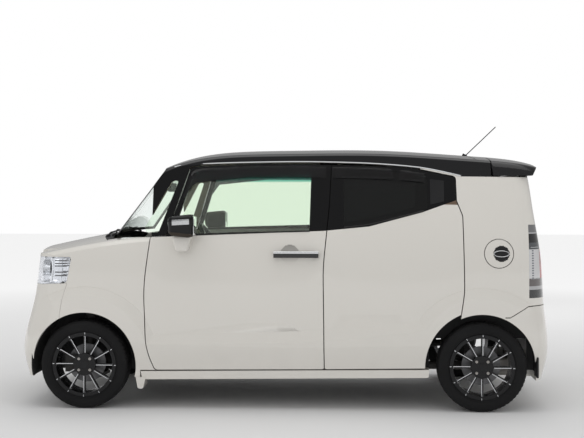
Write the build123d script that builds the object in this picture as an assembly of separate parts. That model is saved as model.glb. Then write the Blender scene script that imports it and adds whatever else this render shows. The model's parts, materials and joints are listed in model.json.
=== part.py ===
from build123d import *
import functools
import math
import os

os.makedirs("parts", exist_ok=True)

# Frame: origin on the ground at the middle of the wheelbase, +X forward, +Y to the car's left, +Z up.
# Side outlines are drawn in (x, z), plan outlines in (x, y), all in millimetres.

# ---- Overall sizes -------------------------------------------------------------------------------
WHEELBASE = 2520.0
FRONT_OVERHANG = 437.5
REAR_OVERHANG = 437.5
WIDTH = 1475.0
ROOF_Z = 1670.0  # top of the roof, without the antenna
FRONT_X = WHEELBASE / 2  # front axle
REAR_X = -WHEELBASE / 2  # rear axle
NOSE_X = FRONT_X + FRONT_OVERHANG
TAIL_X = REAR_X - REAR_OVERHANG
HALF_WIDTH = WIDTH / 2

# ---- Wheels: 165/55R15 on 15 x 5J ---------------------------------------------------------------
TYRE_R = 281.0
TYRE_WIDTH = 165.0
TYRE_Y = 645.0  # the tyre's middle plane
HUB_Z = TYRE_R
RIM_LIP_R = 204.0
RIM_SEAT_R = 190.0
RIM_BARREL_R = 181.0
RIM_WIDTH = 142.0
RIM_OFFSET = 40.0  # mounting face outboard of the rim's middle
SPOKES = 12
SPOKE_WIDTH = 13.0
SPOKE_DEPTH = 20.0
LUGS = 4
LUG_PCD = 100.0
LUG_R = 7.0
HUB_R = 62.0
CENTRE_BORE_R = 27.0
SPINDLE_R = 16.0
PIN_CLEARANCE = 0.3
DISC_R = 122.0
DISC_THICK = 14.0

# ---- Steering ------------------------------------------------------------------------------------
KINGPIN_Y = 570.0  # where the steering axis passes the hub's height
KINGPIN_LEAN = 9.5  # degrees, its top leaning inboard
STRUT_R = 23.0

# ---- Body ----------------------------------------------------------------------------------------
ARCH_R = 333.0  # wheel opening in the body side
HOUSE_R = 343.0  # wheel house inside it
PANEL_GAP = 6.0
FLARE_R = 495.0  # outer crease of the raised band round each wheel opening
FLARE_STEP = 17.0  # how far that band stands out of the body side
FLARE_SLOPE = 70.0  # width of the slope up to it
SHEET = 26.0  # fenders, bumpers, roof skins with what backs them
FRAME_DEPTH = 44.0  # window frames and pillars
DOOR_DEPTH = 105.0  # doors below the windows
GLASS = 4.0
FLUSH_INSET = 3.0  # fixed glass below the body surface
DOOR_GLASS_INSET = 16.0
BELT_Z = 1100.0

# Plan outlines of the body. The bow is how far the middle of an end stands past its corners.
BODY_ROWS = (
    # height, nose setback, nose bow, tail setback, tail bow, side inset, corner radius
    (170.0, 40.0, 12.0, 46.0, 10.0, 22.0, 150.0),
    (400.0, 0.5, 14.0, 0.0, 10.0, 17.0, 165.0),
    (620.0, 38.0, 34.0, 19.0, 12.0, 16.5, 165.0),
    (820.0, 62.0, 56.0, 30.0, 16.0, 16.5, 165.0),
    (1000.0, 72.0, 74.0, 42.0, 22.0, 25.0, 150.0),
    (1130.0, 84.0, 84.0, 58.0, 28.0, 46.0, 130.0),
    (1330.0, 110.0, 90.0, 82.0, 34.0, 90.0, 115.0),
    (1520.0, 140.0, 90.0, 108.0, 38.0, 134.0, 100.0),
    (1700.0, 170.0, 90.0, 132.0, 40.0, 176.0, 90.0),
)
SIDE_BOW = 5.0

# Crown of the roof: top height at stations along the car.
ROOF_ROWS = ((1250.0, 1190.0), (780.0, 1563.0), (560.0, 1632.0), (240.0, 1663.0), (-250.0, ROOF_Z),
             (-900.0, 1653.0), (-1300.0, 1624.0), (-1720.0, 1538.0))
ROOF_CROWN = 46.0  # drop from the middle to the shoulder
ROOF_EDGE_R = 62.0
EDGE_SLACK = 2.0  # the crown stands this far outside the body side, so that the side stays whole
CROWN_SPREAD = 0.08  # and leans this much away from it below, where the side alone makes the shape
CABIN_FLOOR_Z = 1040.0

# Crown of the bonnet and fender tops.
BONNET_ROWS = ((1760.0, 985.0), (1560.0, 1030.0), (1300.0, 1084.0), (820.0, 1150.0))
BONNET_CROWN = 56.0
BONNET_EDGE_R = 62.0
NOSE_EDGE_R = 46.0

# Windscreen: a bowed sheet that leans back.
SCREEN_FOOT = (1152.0, 1105.0)  # x, z on the middle line
SCREEN_HEAD = (800.0, 1562.0)
SCREEN_BOW_R = 2500.0


# ---- Helpers -------------------------------------------------------------------------------------
def mirrored(shape):
    """The shape's twin on the other side of the car."""
    return mirror(shape, about=Plane.XZ)


def both_sides(shape):
    """The shape and its twin on the other side of the car."""
    return Compound(children=[shape, mirrored(shape)])


def rounded(rows):
    """A closed face from (u, v, corner radius) rows."""
    return make_face(FilletPolyline([(u, v) for u, v, _ in rows], radius=[r for _, _, r in rows], close=True))


def side_prism(face, y1, y2):
    """A side outline in (x, z) pushed through from y1 to y2."""
    return extrude(Plane.XZ.offset(-y2) * face, amount=y2 - y1)


def side_box(x1, x2, y1, y2, z1, z2):
    """A box between two corners."""
    return Pos((x1 + x2) / 2, (y1 + y2) / 2, (z1 + z2) / 2) * Box(abs(x2 - x1), abs(y2 - y1), abs(z2 - z1))


def rod(start, end, radius):
    """A round bar between two points."""
    a, b = Vector(start), Vector(end)
    return extrude(Plane(a, z_dir=b - a) * Circle(radius), amount=(b - a).length)


def wheel_drum(x, radius, y1, y2):
    """A cylinder round an axle line at x, between two side planes."""
    return Pos(x, (y1 + y2) / 2, HUB_Z) * Rot(90, 0, 0) * Cylinder(radius, y2 - y1)


def one_solid(shape):
    """The largest solid of a shape, as the slivers beside it are not part of the panel."""
    return max(shape.solids(), key=lambda s: s.volume)


LEFT_HALF = side_box(-2000, 2000, 0, 900, 0, 2000)
HUGE = 4000.0


# ---- Master volumes ------------------------------------------------------------------------------
def plan_outline(z, front, front_bow, rear, rear_bow, half, corner):
    """A closed plan outline at height z: four bowed sides with round corners."""
    x1, x2 = front - front_bow, rear + rear_bow
    y = half - SIDE_BOW
    sides = [
        ThreePointArc((x1, -y), (front, 0), (x1, y)),
        ThreePointArc((x1, y), ((x1 + x2) / 2, half), (x2, y)),
        ThreePointArc((x2, y), (rear, 0), (x2, -y)),
        ThreePointArc((x2, -y), ((x1 + x2) / 2, -half), (x1, -y)),
    ]
    face = make_face(sides)
    return Pos(0, 0, z) * fillet(face.vertices(), corner)


@functools.lru_cache
def plan_volume(inset, wide=False):
    """The body in plan, taken in by inset. The wide one reaches the flares' outer face."""
    step = FLARE_STEP if wide else 0.0
    return loft([
        plan_outline(z, NOSE_X - nose - inset, nose_bow, TAIL_X + tail + inset, tail_bow,
                     HALF_WIDTH - side - inset + step, corner - inset / 2 + 1.7 * step)
        for z, nose, nose_bow, tail, tail_bow, side, corner in BODY_ROWS
    ])


def side_half_width(z):
    """Half the body's width at height z, between the rows."""
    rows = [(row[0], HALF_WIDTH - row[5]) for row in BODY_ROWS]
    for (z1, y1), (z2, y2) in zip(rows, rows[1:]):
        if z <= z2:
            return y1 + (y2 - y1) * (z - z1) / (z2 - z1)
    return rows[-1][1]


def crown_section(x, top, crown, edge_r, inset, floor):
    """A cross-section at x: a crowned top that rounds over into the body side."""
    z = top - inset
    z_edge = z - crown
    y_side = side_half_width(top - crown) + EDGE_SLACK - inset
    slope = (side_half_width(top - crown - 200) + EDGE_SLACK - inset - y_side) / 200
    y_edge = y_side
    y_low = y_side + (slope + CROWN_SPREAD) * (z_edge - floor)
    top_arc = ThreePointArc((-y_edge, z_edge), (0, z), (y_edge, z_edge))
    rest = Polyline((y_edge, z_edge), (y_low, floor), (-y_low, floor), (-y_edge, z_edge))
    face = make_face([top_arc, rest])
    corners = [v for v in face.vertices() if v.Y > z_edge - 1]
    return Plane.YZ.offset(x) * fillet(corners, edge_r - inset / 2)


def crown_volume(rows, crown, edge_r, inset, floor):
    """A crowned top, lofted through its stations along the car."""
    return loft([crown_section(x, top, crown, edge_r, inset, floor) for x, top in rows])


def screen_cutter(inset):
    """Everything ahead of the windscreen's surface, taken in by inset."""
    foot_x, foot_z = SCREEN_FOOT
    head_x, head_z = SCREEN_HEAD
    lean = Vector(head_x - foot_x, 0, head_z - foot_z).normalized()
    below = 140.0
    start_x = foot_x - lean.X / lean.Z * below - inset / lean.Z
    sag = SCREEN_BOW_R - math.sqrt(SCREEN_BOW_R**2 - 760.0**2)
    arc = ThreePointArc((start_x - sag, -760), (start_x, 0), (start_x - sag, 760))
    rest = Polyline((start_x - sag, 760), (start_x + 900, 760), (start_x + 900, -760), (start_x - sag, -760))
    return extrude(Pos(0, 0, foot_z - below) * make_face([arc, rest]), amount=900, dir=lean)


def cabin_volume(inset):
    """The left half of the body above CABIN_FLOOR_Z and behind the windscreen, taken in by inset."""
    crown = crown_volume(ROOF_ROWS, ROOF_CROWN, ROOF_EDGE_R, inset, CABIN_FLOOR_Z)
    return (plan_volume(inset) & LEFT_HALF & crown) - screen_cutter(inset)


def front_volume(inset):
    """The left half of the nose and fenders under the bonnet's crown, taken in by inset."""
    crown = crown_volume(BONNET_ROWS, BONNET_CROWN, BONNET_EDGE_R, inset, 120.0)
    return plan_volume(inset) & LEFT_HALF & crown


# ---- Shut lines and openings on the body side: (x, z, corner radius) ------------------------------
FRONT_DOOR_LINE = (
    (838.0, 1097.0, 6.0), (735.0, 1102.0, 12.0), (592.0, 1543.0, 28.0), (140.0, 1566.0, 1500.0),
    (-316.0, 1557.0, 5.0), (-302.0, 1290.0, 1500.0), (-263.0, 900.0, 1500.0), (-271.0, 261.0, 14.0),
    (806.0, 249.0, 30.0), (860.0, 380.0, 500.0), (880.0, 760.0, 1200.0),
)
REAR_DOOR_LINE = (
    (-316.0, 1557.0, 5.0), (-302.0, 1290.0, 1500.0), (-263.0, 900.0, 1500.0), (-271.0, 261.0, 14.0),
    (-928.0, 271.0, 8.0), (-1120.0, 560.0, 60.0), (-1150.0, 760.0, 300.0), (-1143.0, 1230.0, 60.0),
    (-1106.0, 1325.0, 20.0), (-1102.0, 1478.0, 22.0), (-800.0, 1541.0, 900.0),
)
FRONT_WINDOW_LINE = (
    (700.0, 1110.0, 20.0), (566.0, 1505.0, 35.0), (100.0, 1527.0, 1500.0), (-186.0, 1520.0, 12.0),
    (-176.0, 1134.0, 12.0),
)
REAR_WINDOW_LINE = (
    (-392.0, 1158.0, 10.0), (-392.0, 1524.0, 12.0), (-640.0, 1524.0, 1200.0), (-925.0, 1480.0, 25.0),
    (-925.0, 1270.0, 20.0), (-560.0, 1172.0, 300.0),
)
# Where the painted panel ends and the window frame begins.
BELT_LINE = ((1720.0, 1068.0), (1250.0, 1081.0), (850.0, 1092.0), (529.0, 1104.0), (-268.0, 1134.0), (-555.0, 1162.0),
             (-892.0, 1252.0), (-1160.0, 1348.0))
# The roof's lower edge.
ROOF_LINE = ((830.0, 1530.0), (684.0, 1549.0), (428.0, 1563.0), (-112.0, 1572.0), (-557.0, 1561.0),
             (-955.0, 1524.0), (-1137.0, 1479.0), (-1720.0, 1472.0))
QUARTER_GLASS_LINE = ((892.0, 1122.0, 25.0), (708.0, 1456.0, 30.0), (668.0, 1452.0, 8.0), (786.0, 1124.0, 20.0))
# The upper crease of the lower body, between the wheel bands.
CREASE_LINE = ((900.0, 482.0), (-118.0, 503.0), (-554.0, 537.0), (-778.0, 561.0), (-900.0, 588.0))
FENDER_FRONT_X = 1392.0  # fender to bumper cut at the wheel opening
TAILGATE_SPLIT_X = -1330.0  # roof to spoiler
BONNET_SIDE_Y = 628.0
BONNET_REAR_X = 1240.0
BONNET_CORNER_X = 1130.0
BONNET_FRONT_X = 1560.0
FUEL_LID_CENTRE = (-1364.0, 994.0)
FUEL_LID_R = 88.0
FUEL_LID_THICK = 9.0
SEAL_GAP = 0.3  # between a closed panel and what it rests against


def open_region(line, above):
    """The side region above or below an open line of (x, z) points."""
    z_far = 3000.0 if above else -500.0
    points = list(line) + [(line[-1][0], z_far), (line[0][0], z_far)]
    return make_face(Polyline(points, close=True))


def shut(rows, shift):
    """A shut line's face, grown or shrunk by half a panel gap."""
    return offset(rounded(rows), amount=shift, kind=Kind.INTERSECTION)


def panel_prism(rows):
    """What a panel fills within its shut line, on the left side."""
    return side_prism(shut(rows, -PANEL_GAP / 2), 0, 900)


def opening_prism(rows):
    """What the body leaves open for that panel."""
    return side_prism(shut(rows, PANEL_GAP / 2), 0, 900)


def flare_relief():
    """The raised bands round the wheels and the sill band between them, on the left side."""
    rings = [Pos(x, HUB_Z) * Circle(FLARE_R) for x in (FRONT_X, REAR_X)]
    band = open_region(CREASE_LINE, above=False)
    tail = Pos(REAR_X - 330, 250) * Rectangle(500, 330)
    nose = Pos(FRONT_X + 330, 250) * Rectangle(500, 330)
    outline = band + rings[0] + rings[1] + tail + nose
    block = side_prism(outline, HALF_WIDTH - 40, HALF_WIDTH)
    rim_edges = [e for e in block.edges() if all(abs(v.Y - HALF_WIDTH) < 0.01 for v in e.vertices())
                 and e.center().Z > 0 and abs(e.center().X) < 2200]
    return block, rim_edges


class BodyStock:
    """The left half's volumes that the panels are cut from, each made once."""

    def __init__(self):
        self.lower = plan_volume(0) & LEFT_HALF & side_box(-2000, 2000, 0, 900, 0, BELT_Z + 40)
        self.lower_inner = plan_volume(DOOR_DEPTH)
        block, rim_edges = flare_relief()
        self.relief = chamfer(rim_edges, FLARE_STEP, FLARE_SLOPE) & plan_volume(0, wide=True)
        cabin = {i: cabin_volume(i) for i in (0, FLUSH_INSET, FLUSH_INSET + GLASS, FRAME_DEPTH)}
        self.frame_shell = cabin[0] - cabin[FRAME_DEPTH]
        self.glass_shell = cabin[FLUSH_INSET] - cabin[FLUSH_INSET + GLASS]
        self.cabin = cabin[0]
        self.cabin_inner = cabin[FRAME_DEPTH]
        self.front_plain = front_volume(0)
        self.front = self.front_plain + (self.relief & side_box(700, 2000, 0, 900, 0, 1000))
        self.front_inner = front_volume(SHEET)
        self.front_seat = front_volume(SHEET + SEAL_GAP)
        self.side = self.lower + self.relief


# ---- Doors ---------------------------------------------------------------------------------------
def below_belt():
    return side_prism(open_region(BELT_LINE, above=False), 0, 900)


def above_belt():
    return side_prism(open_region(BELT_LINE, above=True), 0, 900)


WAIST_Z = BELT_Z - 55  # above this a door is only as thick as its window frame


def wall_between(stock, shape_cut):
    """The body side inside a prism: thick below the waist, thin above it."""
    below = (stock.side & shape_cut & side_box(-HUGE / 2, HUGE / 2, 0, 900, 0, WAIST_Z)) - stock.lower_inner
    above = stock.frame_shell & shape_cut & side_box(-HUGE / 2, HUGE / 2, 0, 900, WAIST_Z, 2000)
    return below, above


SWING_SETBACK = 10.0
SKIN_FLANGE = 24.0


def swing_room():
    """What the front door leaves open behind its outer flange, so that its rear edge swings clear."""
    slope = [(side_half_width(z) - SKIN_FLANGE, z) for z in (200.0, 500.0, 800.0, WAIST_Z, 1200.0, 1350.0, 1600.0)]
    profile = make_face(Polyline([(0, 200.0)] + slope + [(0, 1600.0)], close=True))
    inner = extrude(Plane.YZ.offset(-400) * profile, amount=220)
    return inner & side_prism(shut(REAR_DOOR_LINE, PANEL_GAP / 2 + SWING_SETBACK), 0, 900)


def door_panel(stock, rows):
    """The painted part of a left door, as thick as the whole door."""
    below, above = wall_between(stock, panel_prism(rows) & below_belt())
    return one_solid(below + above - wheel_drum(REAR_X, ARCH_R + 24, 0, 900))


def door_frame(stock, rows, window_rows):
    """The black frame round a left door's window."""
    ring = stock.frame_shell & (panel_prism(rows) & above_belt())
    return one_solid(ring - side_prism(rounded(window_rows), 0, 900))


def door_glass(stock, window_rows):
    """The pane that fills a left door's window."""
    return one_solid(stock.glass_shell & side_prism(rounded(window_rows), 0, 900))


def mirror_left(stock):
    """The left mirror: a rounded housing on a pedestal that stands on the door's shoulder."""
    x1, x2, y1, y2, z1, z2 = MIRROR_BOX
    housing = fillet(side_box(x1, x2, y1, y2, z1, z2).edges(), 26)
    glass_pocket = side_box(x1 - 1, x1 + 8, y1 + 14, y2 - 14, z1 + 14, z2 - 14)
    foot = side_prism(rounded(((x1 + 22, 1010.0, 8.0), (x2 - 5, 1010.0, 8.0), (x2 - 15, z1 + 20, 8.0),
                               (x1 + 32, z1 + 20, 8.0))), HALF_WIDTH - 60, HALF_WIDTH + 70)
    return one_solid(housing - glass_pocket + (foot - stock.lower))


MIRROR_BOX = (529.0, 700.0, 762.0, 930.0, 1092.0, 1243.0)
HANDLE_X = (-235.0, 48.0)
HANDLE_Z = (966.0, 1008.0)


def handle_left(stock):
    """The front door's pull bar on its two posts."""
    x1, x2 = HANDLE_X
    z1, z2 = HANDLE_Z
    y = side_half_width(990)
    bar = fillet(side_box(x1, x2, y + 26, y + 42, z1, z2).edges().filter_by(Axis.X), 7)
    posts = [side_box(x, x + 30, y - 20, y + 30, z1 + 6, z2 - 6) for x in (x1 + 4, x2 - 34)]
    return one_solid(bar + ((posts[0] + posts[1]) - stock.lower))


# ---- Roof, pillars and rear quarters --------------------------------------------------------------
def roof_left(stock):
    region = side_prism(open_region(ROOF_LINE, above=True), 0, 900)
    panel = stock.frame_shell & region
    panel = panel & side_box(TAILGATE_SPLIT_X + PANEL_GAP / 2, 1300, 0, 900, 1400, 1800)
    return one_solid(panel - opening_prism(FRONT_DOOR_LINE) - opening_prism(REAR_DOOR_LINE) - screen_opening())


SCREEN_OUTLINE = ((0.0, 1070.0), (648.0, 1070.0), (646.0, 1110.0), (556.0, 1528.0), (0.0, 1546.0))


def screen_opening():
    """What the windscreen fills, seen from the front."""
    face = make_face(Polyline(list(SCREEN_OUTLINE), close=True))
    return extrude(Plane.YZ.offset(700) * face, amount=700)


def a_pillar_left(stock):
    """The front pillar with the frame of its quarter window."""
    region = open_region(ROOF_LINE, above=False) & open_region(BELT_LINE, above=True)
    pillar = stock.frame_shell & (side_prism(region, 0, 900) & side_box(540, 1300, 0, 900, 900, 1700))
    pillar = pillar - opening_prism(FRONT_DOOR_LINE) - screen_opening()
    return one_solid(pillar - side_prism(rounded(QUARTER_GLASS_LINE), 0, 900))


def quarter_glass_left(stock):
    return one_solid(stock.glass_shell & side_prism(rounded(QUARTER_GLASS_LINE), 300, 900))


def windscreen_left(stock):
    return one_solid(stock.glass_shell & screen_opening() & side_box(700, 1300, 0, 900, 1105, 1700))


def b_pillar_left(stock):
    """The post that both doors close against: upright below the waist, leaning in above it."""
    post = Polyline([(562, FLOOR_Z), (640, FLOOR_Z), (640, WAIST_Z), (562, WAIST_Z)], close=True)
    upper = Polyline([(562, WAIST_Z), (606, WAIST_Z), (533, 1600), (493, 1600)], close=True)
    x = -350.0
    lower_part = extrude(Plane.YZ.offset(x) * make_face(post), amount=110) & plan_volume(DOOR_DEPTH + SEAL_GAP)
    upper_part = extrude(Plane.YZ.offset(x) * make_face(upper), amount=110) & stock.cabin_inner
    return one_solid(lower_part + upper_part)


SPOILER_BOTTOM_Z = 1484.0
TAILGATE_OUTLINE = ((0.0, 575.0, 0.0), (560.0, 575.0, 30.0), (585.0, 980.0, 200.0), (520.0, SPOILER_BOTTOM_Z - SEAL_GAP, 30.0),
                    (0.0, SPOILER_BOTTOM_Z - SEAL_GAP, 0.0))
TAILGATE_GLASS_OUTLINE = ((0.0, 1145.0, 0.0), (520.0, 1145.0, 40.0), (470.0, 1440.0, 40.0), (0.0, 1448.0, 0.0))


def rear_prism(rows, shift, x_front):
    """A rear-view outline's left half, pushed from the tail forward to x_front."""
    points = [(y, z) for y, z, _ in rows]
    face = make_face(Polyline(points, close=True))
    corners = [(v, r) for v in face.vertices() for y, z, r in rows if r and abs(v.X - y) + abs(v.Y - z) < 0.01]
    for _, r in corners:
        pick = [v for v in face.vertices() for y, z, rr in rows if rr == r and abs(v.X - y) + abs(v.Y - z) < 0.01]
        if pick:
            face = fillet(pick, r)
    if shift:
        face = offset(face, amount=shift, kind=Kind.INTERSECTION) & (Pos(450, 1000) * Rectangle(900, 2000))
    return extrude(Plane.YZ.offset(TAIL_X - 100) * face, amount=x_front - TAIL_X + 100)


def quarter_wall(stock):
    """The painted side behind the rear door, up to the roof and round the corner to the tailgate."""
    region = side_prism(open_region(ROOF_LINE, above=False), 0, 900) & side_box(TAIL_X - 50, -880, 0, 900, 0, 1700)
    below, above = wall_between(stock, region)
    panel = below + above - opening_prism(REAR_DOOR_LINE)
    panel = panel - wheel_drum(REAR_X, ARCH_R, 500, 900) - wheel_drum(REAR_X, HOUSE_R + 6, 500, HALF_WIDTH - 45)
    panel = panel - rear_prism(TAILGATE_OUTLINE, PANEL_GAP, -1350)
    panel = panel - bumper_region_rear(PANEL_GAP / 2) - tail_lamp_region(SEAL_GAP)
    return one_solid(panel)


def with_fuel_pocket(panel):
    """The left quarter with the pocket behind the fuel lid, its filler cap and the lid's stop."""
    fuel_x, fuel_z = FUEL_LID_CENTRE
    pocket = Pos(fuel_x, HALF_WIDTH - 30, fuel_z) * Rot(90, 0, 0) * Cylinder(FUEL_LID_R + 5, 60)
    cap = Pos(fuel_x, HALF_WIDTH - 66, fuel_z) * Rot(90, 0, 0) * Cylinder(36, 40)
    stop = Pos(fuel_x - 66, HALF_WIDTH - 50, fuel_z) * Rot(90, 0, 0) * Cylinder(6, 70)
    stop = stop & plan_volume(FUEL_LID_THICK + SEAL_GAP)
    return one_solid(panel - pocket + cap + stop)


def fuel_lid_left(stock):
    """The round fuel lid, a skin flush with the quarter."""
    fuel_x, fuel_z = FUEL_LID_CENTRE
    disc = Pos(fuel_x, HALF_WIDTH, fuel_z) * Rot(90, 0, 0) * Cylinder(FUEL_LID_R, 100)
    return one_solid((stock.lower & disc) - plan_volume(FUEL_LID_THICK))


REAR_BUMPER_TOP = ((-1400.0, 595.0), (-1431.0, 595.0), (-1545.0, 665.0), (-1760.0, 672.0))


def bumper_region_rear(shift):
    """The side region below the rear bumper's upper edge."""
    line = [(x, z + shift) for x, z in REAR_BUMPER_TOP]
    points = line + [(-1760.0, 100.0), (-1400.0, 100.0)]
    return side_prism(make_face(Polyline(points, close=True)), 0, 900)


def rear_bumper_left(stock):
    below = (stock.side & bumper_region_rear(-PANEL_GAP / 2)) - stock.lower_inner
    below = below - rear_prism(TAILGATE_OUTLINE, PANEL_GAP, -1350)
    below = below & side_box(-1760, -1400, 0, 900, 195, 1000)
    return one_solid(below - wheel_drum(REAR_X, ARCH_R, 500, 900) - wheel_drum(REAR_X, HOUSE_R + 6, 500, HALF_WIDTH - 45))


def tail_lamp_region(shift):
    """The upright lamp at the rear corner."""
    x_front = -1552.0 + shift
    return side_box(-1760, x_front, 596 - shift, 900, 716 - shift, 1174 + shift) - \
        rear_prism(TAILGATE_OUTLINE, PANEL_GAP + 2, -1350)


def tail_lamp_left(stock):
    shell = (stock.lower & tail_lamp_region(0.0)) - stock.lower_inner
    upper = stock.frame_shell & tail_lamp_region(0.0) & side_box(-1760, -1400, 0, 900, WAIST_Z, 1300)
    return one_solid(shell + upper)


def tailgate_left(stock):
    prism = rear_prism(TAILGATE_OUTLINE, 0, -1400)
    below, above = wall_between(stock, prism)
    edge = plan_volume(SKIN_FLANGE) - rear_prism(TAILGATE_OUTLINE, -SWING_SETBACK, -1350)
    return below + above - rear_prism(TAILGATE_GLASS_OUTLINE, 0, -1400) - (edge & side_box(TAIL_X - 50, -1350, 400, 900, 600, 1476))


def tailgate_glass_left(stock):
    return one_solid(stock.glass_shell & rear_prism(TAILGATE_GLASS_OUTLINE, 0, -1400))


SPOILER_PROFILE = ((TAILGATE_SPLIT_X - PANEL_GAP / 2, SPOILER_BOTTOM_Z, 0.0), (-1590.0, SPOILER_BOTTOM_Z, 10.0), (-1620.0, 1538.0, 8.0),
                   (-1612.0, 1640.0, 0.0), (TAILGATE_SPLIT_X - PANEL_GAP / 2, 1700.0, 0.0))


def spoiler_left(stock):
    """The roof's overhang above the tailgate glass."""
    crown = crown_volume(ROOF_ROWS, ROOF_CROWN, ROOF_EDGE_R, 0, CABIN_FLOOR_Z)
    plan = Pos(-1470, 0, 1400) * extrude(fillet((Rectangle(300, 1230)).vertices(), 60), amount=400)
    block = crown & side_prism(rounded(SPOILER_PROFILE), 0, 900) & plan
    return one_solid(block - stock.cabin_inner)


# ---- Nose ----------------------------------------------------------------------------------------
HEADLAMP_OUTLINE = ((1700.0, 968.0, 0.0), (1351.0, 965.0, 10.0), (1346.0, 946.0, 30.0), (1371.0, 812.0, 16.0),
                    (1386.0, 800.0, 16.0), (1700.0, 784.0, 0.0))
HEADLAMP_INNER_Y = 372.0
HEADLAMP_DEPTH = 70.0
GRILLE_Z = (812.0, 940.0)
LOWER_GRILLE_Z = (300.0, 470.0)
LOWER_GRILLE_Y = 420.0
BUMPER_REAR_LINE = ((1720.0, 784.0), (1386.0, 797.0), (1372.0, 800.0), (1402.0, 687.0), (1416.0, 600.0),
                    (1416.0, 100.0), (1720.0, 100.0))


def bonnet_face(shift):
    """The bonnet's plan outline on the left half, grown by shift."""
    rear, corner = BONNET_REAR_X - shift, BONNET_CORNER_X - shift
    side, front = BONNET_SIDE_Y + shift, BONNET_FRONT_X
    edges = [
        ThreePointArc((rear, -0.0), ((rear * 3 + corner) / 4, side / 2), (corner, side)),
        Polyline((corner, side), (front - 150, side - 14), (front, side - 150), (1900, side - 150),
                 (1900, 0), (rear, 0)),
    ]
    return make_face(edges)


def bonnet_block(shift):
    """What the bonnet fills from above, on the left half."""
    column = extrude(Pos(0, 0, 968 - shift) * bonnet_face(shift), amount=400)
    return column


def bonnet_left(stock):
    """The left half of the bonnet skin, which rolls over at its leading edge."""
    return one_solid((stock.front_plain & bonnet_block(0)) - stock.front_inner)


def headlamp_prism(shift):
    face = rounded(HEADLAMP_OUTLINE)
    if shift:
        face = offset(face, amount=shift, kind=Kind.INTERSECTION)
    return side_prism(face, HEADLAMP_INNER_Y - shift, 900)


def headlamp_left(stock):
    """The left headlamp, which wraps round from the grille to the fender."""
    return one_solid((stock.front_plain & headlamp_prism(0)) - plan_volume(HEADLAMP_DEPTH))


def bumper_prism(shift):
    face = make_face(Polyline(list(BUMPER_REAR_LINE), close=True))
    if shift:
        face = offset(face, amount=shift, kind=Kind.INTERSECTION)
    return side_prism(face, 0, 900)


def front_bumper_left(stock):
    """The left half of the front bumper with its lower air opening."""
    shell = (stock.front & bumper_prism(-SEAL_GAP)) - stock.front_inner
    shell = shell & side_box(1200, 1760, 0, 900, 198, 1000)
    shell = shell - side_box(1500, 1800, -10, LOWER_GRILLE_Y, *LOWER_GRILLE_Z)
    return one_solid(shell - wheel_drum(FRONT_X, ARCH_R, 380, 900) - wheel_drum(FRONT_X, HOUSE_R + 8, 380, HALF_WIDTH - 40))


def grille_left(stock):
    """The left half of the grille: an upper band between the headlamps and the lower air intake."""
    upper = stock.front_plain & side_box(1400, 1800, 0, HEADLAMP_INNER_Y - SEAL_GAP, 780, 966)
    upper = upper - stock.front_inner - bumper_prism(SEAL_GAP)
    z1, z2 = GRILLE_Z
    slots = 3
    pitch = (z2 - z1) / slots
    for i in range(slots):
        upper = upper - side_box(1400, 1800, -10, HEADLAMP_INNER_Y - 30, z1 + i * pitch, z1 + (i + 1) * pitch - 16)
    return one_solid(upper)


def lower_grille_left(stock):
    """The left half of the lower intake's bars."""
    z1, z2 = LOWER_GRILLE_Z
    block = (stock.front_plain & side_box(1500, 1800, 0, LOWER_GRILLE_Y - SEAL_GAP, z1 + SEAL_GAP, z2 - SEAL_GAP)) - stock.front_inner
    bars = 4
    pitch = (z2 - z1) / bars
    for i in range(bars):
        block = block - side_box(1500, 1800, -10, LOWER_GRILLE_Y - 22, z1 + 12 + i * pitch, z1 + (i + 1) * pitch - 8)
    return one_solid(block)


def fender_left(stock):
    """The left front fender, from the bumper to the door."""
    region = side_box(780, 1720, 0, 900, 205, 1200) & below_belt()
    skin = (stock.front & region) - stock.front_inner
    skin = skin - opening_prism(FRONT_DOOR_LINE) - bonnet_block(PANEL_GAP)
    skin = skin - headlamp_prism(SEAL_GAP) - bumper_prism(1.0)
    skin = skin - wheel_drum(FRONT_X, ARCH_R, 380, 900) - wheel_drum(FRONT_X, HOUSE_R + 8, 380, HALF_WIDTH - 40)
    skin = skin - side_box(780, 1900, -10, BONNET_SIDE_Y - 20, 0, 1400)
    skin = skin - side_box(700, 900, 0, 900, 0, 250)
    return one_solid(skin)


# ---- Floor, sills and engine bay ------------------------------------------------------------------
FLOOR_Z = 262.0
FLOOR_THICK = 34.0
SEAT_PAN_Z = 335.0
SEAT_PAN_X = -520.0
CARGO_Z = 478.0
CARGO_X = -880.0
FLOOR_HALF = 600.0
DOOR_CLEAR_Y = 588.0  # the floor's edge where the doors' lower ends close over it
SILL_TOP_Z = 242.0
FIREWALL_X = 1040.0
INNER_WALL_Y = 392.0  # engine bay side, inside the steered wheel's reach
REAR_WALL_Y = 540.0  # cargo space side, inside the rear wheel


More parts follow.
